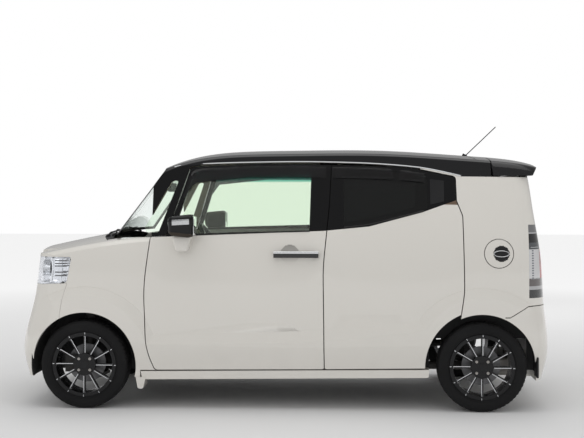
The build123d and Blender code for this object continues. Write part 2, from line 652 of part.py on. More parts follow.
def floor_pan():
    """The floor with its steps, the firewall and the four wheel houses, as one pressing."""
    main = side_box(SEAT_PAN_X, 905, -FLOOR_HALF, FLOOR_HALF, FLOOR_Z - FLOOR_THICK, FLOOR_Z)
    toe = side_box(880, FIREWALL_X, -INNER_WALL_Y, INNER_WALL_Y, FLOOR_Z - FLOOR_THICK, FLOOR_Z)
    firewall = side_box(FIREWALL_X - 26, FIREWALL_X, -INNER_WALL_Y, INNER_WALL_Y, FLOOR_Z - FLOOR_THICK, 1030)
    upper_wall = side_box(FIREWALL_X - 26, FIREWALL_X, -FLOOR_HALF, FLOOR_HALF, 640, 1030)
    post = side_box(886, 905, FLOOR_HALF - 10, HALF_WIDTH - 70, FLOOR_Z - 12, 1030)
    post = post + side_box(886, FIREWALL_X, FLOOR_HALF - 10, FLOOR_HALF, 640, 1030)
    seat_pan = side_box(CARGO_X, SEAT_PAN_X, -FLOOR_HALF, FLOOR_HALF, SEAT_PAN_Z - FLOOR_THICK, SEAT_PAN_Z)
    step = side_box(SEAT_PAN_X - 24, SEAT_PAN_X, -FLOOR_HALF, FLOOR_HALF, FLOOR_Z - FLOOR_THICK, SEAT_PAN_Z)
    cargo = side_box(-1640, CARGO_X, -REAR_WALL_Y, REAR_WALL_Y, CARGO_Z - FLOOR_THICK, CARGO_Z)
    cargo_step = side_box(CARGO_X - 24, CARGO_X, -REAR_WALL_Y, REAR_WALL_Y, SEAT_PAN_Z - FLOOR_THICK, CARGO_Z)
    tail_wall = side_box(-1640, -1556, -REAR_WALL_Y, REAR_WALL_Y, CARGO_Z - 1, 640) & plan_volume(DOOR_DEPTH + SEAL_GAP)
    cargo = cargo & plan_volume(DOOR_DEPTH + 2)
    pan = main + toe + firewall + upper_wall + seat_pan + step + cargo + cargo_step + tail_wall
    pan = pan + post + mirrored(post)
    for x, inner_y in ((FRONT_X, INNER_WALL_Y), (REAR_X, REAR_WALL_Y)):
        outer_y = HALF_WIDTH - DOOR_DEPTH - 24 if x < 0 else HALF_WIDTH - SHEET - 22
        drum = wheel_drum(x, HOUSE_R + 5, inner_y, outer_y) - wheel_drum(x, HOUSE_R, inner_y + 5, outer_y + 1)
        drum = drum & side_box(x - 400, x + 400, 0, 900, 205 if x > 0 else FLOOR_Z - 20, 900)
        pan = pan - wheel_drum(x, HOUSE_R, inner_y + 5, outer_y) - mirrored(wheel_drum(x, HOUSE_R, inner_y + 5, outer_y))
        pan = pan + drum + mirrored(drum)
    below_axle = side_box(REAR_X - 300, REAR_X + 320, REAR_WALL_Y - 4, REAR_WALL_Y + 6, 0, CARGO_Z - FLOOR_THICK)
    shaft_hole = wheel_drum(FRONT_X, 42, INNER_WALL_Y - 10, INNER_WALL_Y + 10)
    tower, well = strut_tower()
    door_room = side_box(REAR_X + 330, 886, DOOR_CLEAR_Y, 700, SILL_TOP_Z, SEAT_PAN_Z + 10)
    openings = below_axle + shaft_hole + well + door_room
    pan = pan + tower + mirrored(tower)
    return one_solid(pan - openings - mirrored(openings))


SILL_BOTTOM_Z = 190.0


def sill_left():
    """The rocker under the doors."""
    outline = rounded(((886.0, SILL_BOTTOM_Z, 10.0), (897.0, SILL_TOP_Z, 0.0), (808.0, SILL_TOP_Z + 1, 8.0),
                       (-930.0, 264.0, 0.0), (-925.0, SILL_BOTTOM_Z + 24, 10.0)))
    section = side_prism(outline, FLOOR_HALF + SEAL_GAP, HALF_WIDTH - 22)
    return section - wheel_drum(REAR_X, HOUSE_R + 6, FLOOR_HALF, HALF_WIDTH - DOOR_DEPTH - 23)


def engine():
    """The engine and gearbox as one block."""
    return side_box(1120, 1560, -235, 235, 305, 800)


def fuel_tank():
    tank = side_box(CARGO_X + 25, SEAT_PAN_X - 50, -430, 110, 178, SEAT_PAN_Z - FLOOR_THICK)
    return fillet(tank.edges().filter_by(Axis.Z) + tank.edges().group_by(Axis.Z)[0], 18)


# ---- Suspension ----------------------------------------------------------------------------------
def kingpin_point(height):
    """A point on the left steering axis at that height."""
    return FRONT_X, KINGPIN_Y - (height - HUB_Z) * math.tan(math.radians(KINGPIN_LEAN)), height


BALL_JOINT_Z = 178.0
BALL_PIN_R = 8.0
STRUT_TOP_Z = 676.0
STRUT_WELL_R = 60.0


def strut_tower():
    """The can over the left strut, and the well inside it."""
    lean = Vector(0, -math.tan(math.radians(KINGPIN_LEAN)), 1)
    base = kingpin_point(560)
    top = kingpin_point(STRUT_TOP_Z)
    height = (Vector(top) - Vector(base)).length
    can = extrude(Plane(base, z_dir=lean) * Circle(STRUT_WELL_R + 12), amount=height + 12)
    can = can & side_box(FRONT_X - 200, FRONT_X + 200, 0, 700, HUB_Z + HOUSE_R - 20, 900)
    can = can - wheel_drum(FRONT_X, HOUSE_R, 300, 700)
    well = extrude(Plane(base, z_dir=lean) * Circle(STRUT_WELL_R), amount=height)
    return can, well


def front_suspension():
    """The subframe with its lower arms and ball joints, the steering rack and the drive shafts."""
    beam = side_box(1190, 1330, -300, 300, 196, 252)
    rack = rod((1150, -330, 262), (1150, 330, 262), 20)
    rack_feet = side_box(1150, 1200, -240, -200, 230, 262) + side_box(1150, 1200, 200, 240, 230, 262)
    ball = kingpin_point(BALL_JOINT_Z)
    arm_face = make_face(Polyline([(1190, 280), (1330, 280), (1290, ball[1] + 18), (1230, ball[1] + 18)], close=True))
    arm = extrude(Pos(0, 0, BALL_JOINT_Z - 18) * arm_face, amount=18)
    link = side_box(1200, 1320, 270, 300, BALL_JOINT_Z - 18, 200)
    pin = rod(kingpin_point(BALL_JOINT_Z - 6), kingpin_point(BALL_JOINT_Z + 24), BALL_PIN_R)
    shaft = rod((FRONT_X, 249, HUB_Z), (FRONT_X, 522, HUB_Z), 13)
    hanger = side_box(1235, 1285, 240, 262, 250, 305)
    side = arm + link + pin
    shafts = shaft + hanger
    return beam + rack + rack_feet + side + mirrored(side) + shafts + mirrored(shafts)


def knuckle_left():
    """The left knuckle: hub carrier, strut, steering arm and brake caliper."""
    carrier = rod((FRONT_X, 556, HUB_Z), (FRONT_X, 600, HUB_Z), 46)
    spindle = rod((FRONT_X, 590, HUB_Z), (FRONT_X, 672, HUB_Z), SPINDLE_R)
    lower = rod(kingpin_point(BALL_JOINT_Z + 8), kingpin_point(HUB_Z), 20)
    socket = rod(kingpin_point(BALL_JOINT_Z), kingpin_point(BALL_JOINT_Z + 26), BALL_PIN_R + PIN_CLEARANCE)
    lower = lower - socket
    strut = rod(kingpin_point(HUB_Z), kingpin_point(STRUT_TOP_Z - SEAL_GAP), STRUT_R)
    boot = rod(kingpin_point(STRUT_TOP_Z - 120), kingpin_point(STRUT_TOP_Z - 12), 40)
    arm = rod((FRONT_X, 566, 262), (FRONT_X - 105, 520, 262), 14)
    caliper = side_box(FRONT_X + 62, FRONT_X + 136, 597, 662, HUB_Z - 55, HUB_Z + 55)
    gap = wheel_drum(FRONT_X, DISC_R + 5, DISC_Y - DISC_THICK / 2 - 5, DISC_Y + DISC_THICK / 2 + 5)
    mount = side_box(FRONT_X + 20, FRONT_X + 100, 575, 603, HUB_Z - 22, HUB_Z + 22)
    return carrier + spindle + lower + strut + boot + arm + mount + (caliper - gap)


DISC_Y = 632.0


def rim_left(x):
    """An alloy rim with its hub and brake disc: barrel, spokes and lug holes."""
    mid, half = TYRE_Y, RIM_WIDTH / 2
    barrel_profile = Polyline(
        (RIM_BARREL_R, -half), (RIM_LIP_R, -half), (RIM_LIP_R, -half + 6), (RIM_SEAT_R, -half + 12),
        (RIM_SEAT_R, half - 12), (RIM_LIP_R, half - 6), (RIM_LIP_R, half), (RIM_BARREL_R, half),
        (RIM_BARREL_R - 4, 0), close=True)
    barrel = revolve(Plane.XY * make_face(barrel_profile), axis=Axis.Y)
    face_y = half - 6
    pad = RIM_OFFSET
    centre = Pos(0, pad + 13, 0) * Rot(90, 0, 0) * Cylinder(HUB_R + 8, 26)
    shape = barrel + centre
    spoke = side_prism(Pos((RIM_BARREL_R + 40) / 2, 0) * Rectangle(RIM_BARREL_R - 30, SPOKE_WIDTH), pad + 6, face_y - 4)
    for i in range(SPOKES):
        shape = shape + spoke.rotate(Axis.Y, i * 360 / SPOKES)
    hat = Pos(0, (pad + DISC_Y - mid) / 2, 0) * Rot(90, 0, 0) * Cylinder(HUB_R, pad - (DISC_Y - mid))
    disc = Pos(0, DISC_Y - mid, 0) * Rot(90, 0, 0) * Cylinder(DISC_R, DISC_THICK)
    shape = shape + hat + disc
    bore = Pos(0, pad - 60, 0) * Rot(90, 0, 0) * Cylinder(SPINDLE_R + PIN_CLEARANCE, 180)
    shape = shape - bore
    for i in range(LUGS):
        hole = Pos(LUG_PCD / 2, pad + 20, 0) * Rot(90, 0, 0) * Cylinder(LUG_R, 30)
        shape = shape - hole.rotate(Axis.Y, i * 360 / LUGS + 45)
    return Pos(x, mid, HUB_Z) * one_solid(shape)


def tyre_left(x):
    """A tyre seated on its rim."""
    half, rim_half = TYRE_WIDTH / 2, RIM_WIDTH / 2 - 6
    profile = make_face(FilletPolyline(
        [(RIM_SEAT_R, -rim_half + 6), (RIM_LIP_R, -rim_half), (RIM_LIP_R + 26, -half), (TYRE_R - 26, -half + 2),
         (TYRE_R, -half + 16), (TYRE_R, half - 16), (TYRE_R - 26, half - 2), (RIM_LIP_R + 26, half),
         (RIM_LIP_R, rim_half), (RIM_SEAT_R, rim_half - 6)],
        radius=[0, 0, 14, 12, 10, 10, 12, 14, 0, 0], close=True))
    return Pos(x, TYRE_Y, HUB_Z) * revolve(Plane.XY * profile, axis=Axis.Y)


def rear_axle():
    """The torsion beam with its trailing arms, springs, hub plates and stub axles."""
    beam = rod((REAR_X + 120, -480, HUB_Z), (REAR_X + 120, 480, HUB_Z), 34)
    arm = rod((REAR_X + 400, 470, 255), (REAR_X, 500, HUB_Z), 24)
    stub = rod((REAR_X, 480, HUB_Z), (REAR_X, 672, HUB_Z), SPINDLE_R)
    plate = rod((REAR_X, 500, HUB_Z), (REAR_X, 606, HUB_Z), 92)
    spring = rod((REAR_X + 120, 400, HUB_Z), (REAR_X + 120, 400, CARGO_Z - FLOOR_THICK), 42)
    bush = rod((REAR_X + 400, 440, 255), (REAR_X + 400, 500, 255), 30)
    bracket = side_box(REAR_X + 382, REAR_X + 420, 450, 490, 255, SEAT_PAN_Z - FLOOR_THICK)
    side = arm + stub + plate + spring + bush + bracket
    return beam + side + mirrored(side)


EXHAUST_Y = 160.0
EXHAUST_Z = 200.0


def exhaust():
    """The pipe from the engine under the floor, and the silencer behind the axle on its hangers."""
    corner_x = 1078.0
    path = FilletPolyline((1120, EXHAUST_Y, 340), (corner_x, EXHAUST_Y, 340), (corner_x, EXHAUST_Y, EXHAUST_Z),
                          (-1400, EXHAUST_Y, EXHAUST_Z), radius=[36, 60])
    pipe = sweep(Plane(path @ 0, z_dir=path % 0) * Circle(20), path=path)
    box = fillet(side_box(-1538, -1370, -60, 400, 178, 310).edges(), 30)
    hangers = [rod((-1455, y, 300), (-1455, y, CARGO_Z - FLOOR_THICK), 6) for y in (20, 320)]
    return pipe + box + hangers[0] + hangers[1]


# ---- Cabin ---------------------------------------------------------------------------------------
SEAT_Y = 300.0
SEAT_WIDTH = 490.0


def seat(x, y, width, cushion_z, base_z, back_x, back_top, tilt=14.0):
    """A seat: a cushion on its base and a leaning back."""
    base = side_box(x - 225, x + 170, y - width / 2 + 40, y + width / 2 - 40, base_z, cushion_z - 140)
    cushion = fillet(side_box(x - 240, x + 270, y - width / 2, y + width / 2, cushion_z - 150, cushion_z).edges(), 40)
    back_height = back_top - cushion_z + 60
    back = fillet(Box(120, width, back_height).edges(), 38)
    back = Pos(back_x, y, cushion_z - 60) * Rot(0, -tilt, 0) * Pos(0, 0, back_height / 2) * back
    return base + cushion + back


def head_restraint(y, back_x, back_top, cushion_z, tilt=14.0):
    rest = fillet(Box(90, 260, 150).edges(), 34)
    posts = Pos(0, 60, -95) * Cylinder(7, 60) + Pos(0, -60, -95) * Cylinder(7, 60)
    top_x = back_x - math.tan(math.radians(tilt)) * (back_top - cushion_z)
    return Pos(top_x - 24, y, back_top + 96) * Rot(0, -tilt, 0) * (rest + posts)


def front_seats():
    left = seat(130, SEAT_Y, SEAT_WIDTH, 640, FLOOR_Z, -130, 1130) + head_restraint(SEAT_Y, -130, 1130, 640)
    return both_sides(left)


def rear_seat():
    bench = seat(-640, 0, 1060, 610, SEAT_PAN_Z, -885, 1120, 12.0)
    rests = [head_restraint(y, -885, 1120, 610, 12.0) for y in (-290, 290)]
    return bench + rests[0] + rests[1]


def dashboard():
    profile = rounded(((FIREWALL_X - 26 - SEAL_GAP, 700.0, 20.0), (FIREWALL_X - 28, 1040.0, 60.0), (760.0, 1045.0, 90.0), (640.0, 900.0, 60.0),
                       (720.0, 640.0, 60.0)))
    return side_prism(profile, -588, 588)


WHEEL_CENTRE = (560.0, -SEAT_Y, 985.0)


def steering_wheel():
    """The steering wheel and its column, on the right-hand side."""
    tilt = Plane(WHEEL_CENTRE, z_dir=(-0.86, 0, 0.51))
    ring = tilt * Torus(180, 15)
    hub = tilt * Pos(0, 0, -14) * Cylinder(52, 40)
    spokes = tilt * Pos(0, 0, -8) * (Box(340, 26, 12) + Pos(-90, 0, 0) * Box(20, 26, 12)) 
    column = extrude(Plane(WHEEL_CENTRE, z_dir=(0.86, 0, -0.51)) * Circle(30), amount=200) - dashboard()
    return one_solid(ring + hub + spokes + column)


def cowl_left(stock):
    """The panel between the bonnet and the windscreen."""
    block = stock.front_plain - stock.front_inner
    region = side_box(1000, 1300, 0, BONNET_SIDE_Y - 20, 900, 1200) - bonnet_block(PANEL_GAP)
    return one_solid((block & region) - (screen_solid_behind()))


def screen_solid_behind():
    """Everything behind the windscreen's surface, up to its foot."""
    return side_box(700, 1400, -900, 900, 900, 1300) - screen_cutter(0)


def wiper(x_pivot, y_pivot, y_tip):
    """One wiper arm and blade, parked at the foot of the glass."""
    arm = rod((x_pivot, y_pivot, 1076), (1146, y_tip, 1150), 7)
    blade = rod((1142, y_tip - 220, 1148), (1142, y_tip + 220, 1148), 6)
    return arm + blade


def antenna(stock):
    """The rod aerial on its foot, which follows the roof."""
    mast = rod((-1215, 0, 1618), (-1440, 0, 1833), 3.2)
    foot = rod((-1208, 0, 1600), (-1230, 0, 1643), 16)
    return one_solid(mast + foot - stock.cabin - mirrored(stock.cabin))


def mud_flap_left():
    """The flap below the back of the front fender."""
    outline = rounded(((928.0, 204.6, 0.0), (863.0, 204.6, 0.0), (882.0, 130.0, 10.0), (915.0, 134.0, 6.0)))
    return side_prism(outline, 600, HALF_WIDTH - 18)


LOCK_BEAM_X = 1510.0


def front_panel(stock):
    """The cross member that carries the bonnet's lock and the grille."""
    beam = side_box(LOCK_BEAM_X - 40, LOCK_BEAM_X, 0, 366, 880, 1100) & stock.front_seat
    legs = side_box(LOCK_BEAM_X - 40, LOCK_BEAM_X, 330, 372, 440, 890)
    foot = side_box(1320, LOCK_BEAM_X, 330, INNER_WALL_Y - SEAL_GAP, 440, 480)
    return beam + legs + foot


def write(node, shape):
    export_step(shape, f"parts/{node}.step")


def whole(half):
    """A centre piece from its left half."""
    return one_solid(half + mirrored(half))


def main():
    stock = BodyStock()
    setback = swing_room()
    pairs = {
        "front_door": one_solid(door_panel(stock, FRONT_DOOR_LINE) - setback),
        "rear_door": door_panel(stock, REAR_DOOR_LINE),
        "front_window_frame": one_solid(door_frame(stock, FRONT_DOOR_LINE, FRONT_WINDOW_LINE) - setback),
        "rear_window_frame": door_frame(stock, REAR_DOOR_LINE, REAR_WINDOW_LINE),
        "front_door_glass": door_glass(stock, FRONT_WINDOW_LINE),
        "rear_door_glass": door_glass(stock, REAR_WINDOW_LINE),
        "mirror": mirror_left(stock),
        "door_handle": handle_left(stock),
        "knuckle": knuckle_left(),
        "front_rim": rim_left(FRONT_X),
        "front_tyre": tyre_left(FRONT_X),
        "rear_rim": rim_left(REAR_X),
        "rear_tyre": tyre_left(REAR_X),
    }
    for name, shape in pairs.items():
        write(f"{name}_left", shape)
        write(f"{name}_right", mirrored(shape))
    shared = {
        "fenders": fender_left(stock),
        "headlamps": headlamp_left(stock),
        "a_pillars": a_pillar_left(stock),
        "b_pillars": b_pillar_left(stock),
        "tail_lamps": tail_lamp_left(stock),
        "quarter_windows": quarter_glass_left(stock),
        "sills": Compound(children=[sill_left(), mud_flap_left()]),
    }
    for name, shape in shared.items():
        write(name, both_sides(shape))
    quarter = quarter_wall(stock)
    write("quarter_panel_left", with_fuel_pocket(quarter))
    write("quarter_panel_right", mirrored(quarter))
    centre = {
        "roof": roof_left(stock),
        "windscreen": windscreen_left(stock),
        "bonnet": bonnet_left(stock),
        "front_bumper": front_bumper_left(stock),
        "rear_bumper": rear_bumper_left(stock),
        "tailgate": tailgate_left(stock),
        "tailgate_glass": tailgate_glass_left(stock),
        "spoiler": spoiler_left(stock),
        "front_panel": front_panel(stock),
    }
    for name, half in centre.items():
        write(name, whole(half))
    write("grilles", Compound(children=[whole(grille_left(stock)), whole(lower_grille_left(stock))]))
    write("fuel_lid", fuel_lid_left(stock))
    write("floor_pan", floor_pan())
    write("engine", engine())
    write("fuel_tank", fuel_tank())
    write("front_suspension", front_suspension())
    write("rear_axle", rear_axle())
    write("exhaust", exhaust())
    write("front_seats", front_seats())
    write("rear_seat", rear_seat())
    write("dashboard", dashboard())
    write("steering_wheel", steering_wheel())
    cowl = whole(cowl_left(stock))
    write("cowl", cowl)
    under_wipers = cowl + both_sides(bonnet_block(PANEL_GAP))
    write("wipers", Compound(children=[one_solid(wiper(1168, 430, 330) - under_wipers),
                                        one_solid(wiper(1182, -80, -180) - under_wipers)]))
    write("antenna", antenna(stock))


main()
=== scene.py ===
"""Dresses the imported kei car: paint, glass, lamps, tyres, seats, trim, studio and camera."""

import json
import logging
import math
from collections.abc import Callable, Iterable
from dataclasses import dataclass, field
from enum import Enum

import bmesh
import bpy
from mathutils import Matrix, Vector
from mathutils.bvhtree import BVHTree

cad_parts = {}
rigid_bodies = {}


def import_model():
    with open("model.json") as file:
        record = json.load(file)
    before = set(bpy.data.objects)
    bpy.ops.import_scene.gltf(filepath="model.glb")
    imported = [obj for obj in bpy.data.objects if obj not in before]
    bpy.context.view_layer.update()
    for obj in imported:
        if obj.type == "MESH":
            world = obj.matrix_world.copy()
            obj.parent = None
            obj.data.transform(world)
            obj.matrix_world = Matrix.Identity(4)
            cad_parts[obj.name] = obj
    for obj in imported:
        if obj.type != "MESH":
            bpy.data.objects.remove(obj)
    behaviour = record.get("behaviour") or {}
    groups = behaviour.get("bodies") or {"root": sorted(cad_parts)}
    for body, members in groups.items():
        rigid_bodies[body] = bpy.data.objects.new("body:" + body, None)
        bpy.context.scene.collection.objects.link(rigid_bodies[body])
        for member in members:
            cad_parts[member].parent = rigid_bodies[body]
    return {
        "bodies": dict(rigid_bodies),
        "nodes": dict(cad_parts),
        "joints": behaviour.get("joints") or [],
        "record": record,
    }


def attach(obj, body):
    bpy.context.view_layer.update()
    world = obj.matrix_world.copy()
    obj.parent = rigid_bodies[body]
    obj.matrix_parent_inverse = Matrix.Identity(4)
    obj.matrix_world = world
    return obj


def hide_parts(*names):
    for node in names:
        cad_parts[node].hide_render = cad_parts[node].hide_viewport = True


log = logging.getLogger("kei_car")

Point = tuple[float, float, float]
Colour = tuple[float, float, float, float]


class Side(Enum):
    """The two sides of the car, by the sign of Y."""

    LEFT = 1
    RIGHT = -1

    @property
    def word(self) -> str:
        """The side as it stands in node and body names."""
        return self.name.lower()


# ---- Node groups shared by finishes ---------------------------------------------------------------
def link_in(tree: bpy.types.NodeTree, source: bpy.types.NodeSocket, target: bpy.types.NodeSocket) -> None:
    """Joins two sockets of a tree."""
    tree.links.new(source, target)


class Effect:
    """A node group with named inputs and outputs, built once and placed in many finishes."""

    name = "effect"
    inputs: dict[str, float | Colour] = {}
    outputs: dict[str, str] = {}

    def group(self) -> bpy.types.NodeTree:
        """Returns the group's tree, made on first use."""
        tree = bpy.data.node_groups.get(self.name)
        if tree:
            return tree
        tree = bpy.data.node_groups.new(self.name, "ShaderNodeTree")
        tree.interface.new_socket("Vector", in_out="INPUT", socket_type="NodeSocketVector")
        for label, value in self.inputs.items():
            kind = "NodeSocketColor" if isinstance(value, tuple) else "NodeSocketFloat"
            socket = tree.interface.new_socket(label, in_out="INPUT", socket_type=kind)
            socket.default_value = value
        for label, kind in self.outputs.items():
            tree.interface.new_socket(label, in_out="OUTPUT", socket_type=kind)
        entry = tree.nodes.new("NodeGroupInput")
        leave = tree.nodes.new("NodeGroupOutput")
        self.fill(tree, entry, leave)
        return tree

    def fill(self, tree: bpy.types.NodeTree, entry: bpy.types.Node, leave: bpy.types.Node) -> None:
        """Adds the group's own nodes between its input and output nodes."""
        raise NotImplementedError


def noise(tree: bpy.types.NodeTree, vector: bpy.types.NodeSocket, scale: float, detail: float = 3.0) -> bpy.types.Node:
    """A noise texture on a vector.

    Args:
        tree: the tree it goes in.
        vector: the coordinates it reads.
        scale: cells a metre.
        detail: octaves.

    Returns:
        The texture node.
    """
    node = tree.nodes.new("ShaderNodeTexNoise")
    node.inputs["Scale"].default_value = scale
    node.inputs["Detail"].default_value = detail
    link_in(tree, vector, node.inputs["Vector"])
    return node


def ramp(tree: bpy.types.NodeTree, value: bpy.types.NodeSocket, low: float, high: float,
         to_low: float = 0.0, to_high: float = 1.0) -> bpy.types.NodeSocket:
    """Maps low..high onto to_low..to_high, clamped, and returns the result's socket."""
    node = tree.nodes.new("ShaderNodeMapRange")
    for label, number in (("From Min", low), ("From Max", high), ("To Min", to_low), ("To Max", to_high)):
        node.inputs[label].default_value = number
    link_in(tree, value, node.inputs["Value"])
    return node.outputs["Result"]


def maths(tree: bpy.types.NodeTree, operation: str, *values: bpy.types.NodeSocket | float) -> bpy.types.NodeSocket:
    """One Math node on sockets or numbers, and its output."""
    node = tree.nodes.new("ShaderNodeMath")
    node.operation = operation
    for slot, value in zip(node.inputs, values):
        if isinstance(value, (int, float)):
            slot.default_value = value
        else:
            link_in(tree, value, slot)
    return node.outputs[0]


def blend(tree: bpy.types.NodeTree, factor: bpy.types.NodeSocket, first: bpy.types.NodeSocket | Colour,
          second: bpy.types.NodeSocket | Colour) -> bpy.types.NodeSocket:
    """Mixes two colours by a factor and returns the mixed colour's socket."""
    node = tree.nodes.new("ShaderNodeMix")
    node.data_type = "RGBA"
    link_in(tree, factor, node.inputs[0])
    for slot, value in ((node.inputs[6], first), (node.inputs[7], second)):
        if isinstance(value, tuple):
            slot.default_value = value
        else:
            link_in(tree, value, slot)
    return node.outputs[2]


def split_axes(tree: bpy.types.NodeTree, vector: bpy.types.NodeSocket) -> bpy.types.Node:
    """A Separate XYZ node on a vector."""
    node = tree.nodes.new("ShaderNodeSeparateXYZ")
    link_in(tree, vector, node.inputs[0])
    return node


class RoadFilm(Effect):
    """A thin film of dust that gathers low on the car, and fine speckle everywhere."""

    name = "road_film"
    inputs = {"Base": (0.8, 0.8, 0.8, 1.0), "Dust": (0.35, 0.32, 0.28, 1.0), "Amount": 0.12, "Height": 0.55}
    outputs = {"Colour": "NodeSocketColor", "Roughness": "NodeSocketFloat"}

    def fill(self, tree: bpy.types.NodeTree, entry: bpy.types.Node, leave: bpy.types.Node) -> None:
        """Dust by height in metres, broken up by noise."""
        axes = split_axes(tree, entry.outputs["Vector"])
        fall = maths(tree, "SUBTRACT", 1.0, maths(tree, "DIVIDE", axes.outputs["Z"], entry.outputs["Height"]))
        low = ramp(tree, fall, 0.0, 1.0)
        cloud = noise(tree, entry.outputs["Vector"], 9.0, 5.0)
        patch = ramp(tree, cloud.outputs["Fac"], 0.35, 0.7, 0.35, 1.0)
        share = maths(tree, "MULTIPLY", maths(tree, "MULTIPLY", low, patch), entry.outputs["Amount"])
        link_in(tree, blend(tree, share, entry.outputs["Base"], entry.outputs["Dust"]), leave.inputs["Colour"])
        link_in(tree, maths(tree, "MULTIPLY", share, 0.6), leave.inputs["Roughness"])


class Grain(Effect):
    """The fine leather-like grain of moulded plastic, as a height and a slight colour change."""

    name = "grain"
    inputs = {"Base": (0.05, 0.05, 0.05, 1.0), "Scale": 900.0, "Spread": 0.25}
    outputs = {"Colour": "NodeSocketColor", "Height": "NodeSocketFloat"}

    def fill(self, tree: bpy.types.NodeTree, entry: bpy.types.Node, leave: bpy.types.Node) -> None:
        """Cells at the grain's scale, with a slow cloud in the colour."""
        cells = tree.nodes.new("ShaderNodeTexVoronoi")
        cells.feature = "SMOOTH_F1"
        link_in(tree, entry.outputs["Vector"], cells.inputs["Vector"])
        link_in(tree, entry.outputs["Scale"], cells.inputs["Scale"])
        cloud = noise(tree, entry.outputs["Vector"], 4.0, 4.0)
        lift = ramp(tree, cloud.outputs["Fac"], 0.3, 0.7)
        pale = tree.nodes.new("ShaderNodeMix")
        pale.data_type = "RGBA"
        pale.blend_type = "ADD"
        link_in(tree, maths(tree, "MULTIPLY", lift, entry.outputs["Spread"]), pale.inputs[0])
        link_in(tree, entry.outputs["Base"], pale.inputs[6])
        pale.inputs[7].default_value = (0.02, 0.02, 0.02, 1.0)
        link_in(tree, pale.outputs[2], leave.inputs["Colour"])
        link_in(tree, cells.outputs["Distance"], leave.inputs["Height"])


class Weave(Effect):
    """A plain woven cloth: crossed threads with a mottled yarn."""

    name = "weave"
    inputs = {"Base": (0.3, 0.2, 0.12, 1.0), "Yarn": (0.2, 0.12, 0.07, 1.0), "Pitch": 0.0022}
    outputs = {"Colour": "NodeSocketColor", "Height": "NodeSocketFloat"}

    def fill(self, tree: bpy.types.NodeTree, entry: bpy.types.Node, leave: bpy.types.Node) -> None:
        """Sine threads across and along, summed from the three axes so that every face shows them."""
        axes = split_axes(tree, entry.outputs["Vector"])
        rate = maths(tree, "DIVIDE", 2 * math.pi, entry.outputs["Pitch"])
        across = maths(tree, "SINE", maths(tree, "MULTIPLY", axes.outputs["Y"], rate))
        slope = maths(tree, "ADD", axes.outputs["X"], axes.outputs["Z"])
        along = maths(tree, "SINE", maths(tree, "MULTIPLY", slope, rate))
        threads = maths(tree, "MULTIPLY", across, along)
        height = ramp(tree, threads, -1.0, 1.0)
        yarn = noise(tree, entry.outputs["Vector"], 260.0, 2.0)
        mottle = maths(tree, "MULTIPLY", height, ramp(tree, yarn.outputs["Fac"], 0.3, 0.7, 0.5, 1.0))
        link_in(tree, blend(tree, mottle, entry.outputs["Base"], entry.outputs["Yarn"]), leave.inputs["Colour"])
        link_in(tree, height, leave.inputs["Height"])


class OrangePeel(Effect):
    """The faint waviness of sprayed paint, and the sparkle of its flakes."""

    name = "orange_peel"
    inputs = {"Base": (0.8, 0.8, 0.8, 1.0), "Flake": (1.0, 1.0, 1.0, 1.0), "Amount": 0.15}
    outputs = {"Colour": "NodeSocketColor", "Height": "NodeSocketFloat"}

    def fill(self, tree: bpy.types.NodeTree, entry: bpy.types.Node, leave: bpy.types.Node) -> None:
        """Fine cells for flakes, slow noise for the surface."""
        cells = tree.nodes.new("ShaderNodeTexVoronoi")
        cells.inputs["Scale"].default_value = 1400.0
        link_in(tree, entry.outputs["Vector"], cells.inputs["Vector"])
        glint = maths(tree, "MULTIPLY", ramp(tree, cells.outputs["Distance"], 0.0, 0.5, 1.0, 0.0),
                      entry.outputs["Amount"])
        link_in(tree, blend(tree, glint, entry.outputs["Base"], entry.outputs["Flake"]), leave.inputs["Colour"])
        link_in(tree, noise(tree, entry.outputs["Vector"], 220.0, 2.0).outputs["Fac"], leave.inputs["Height"])


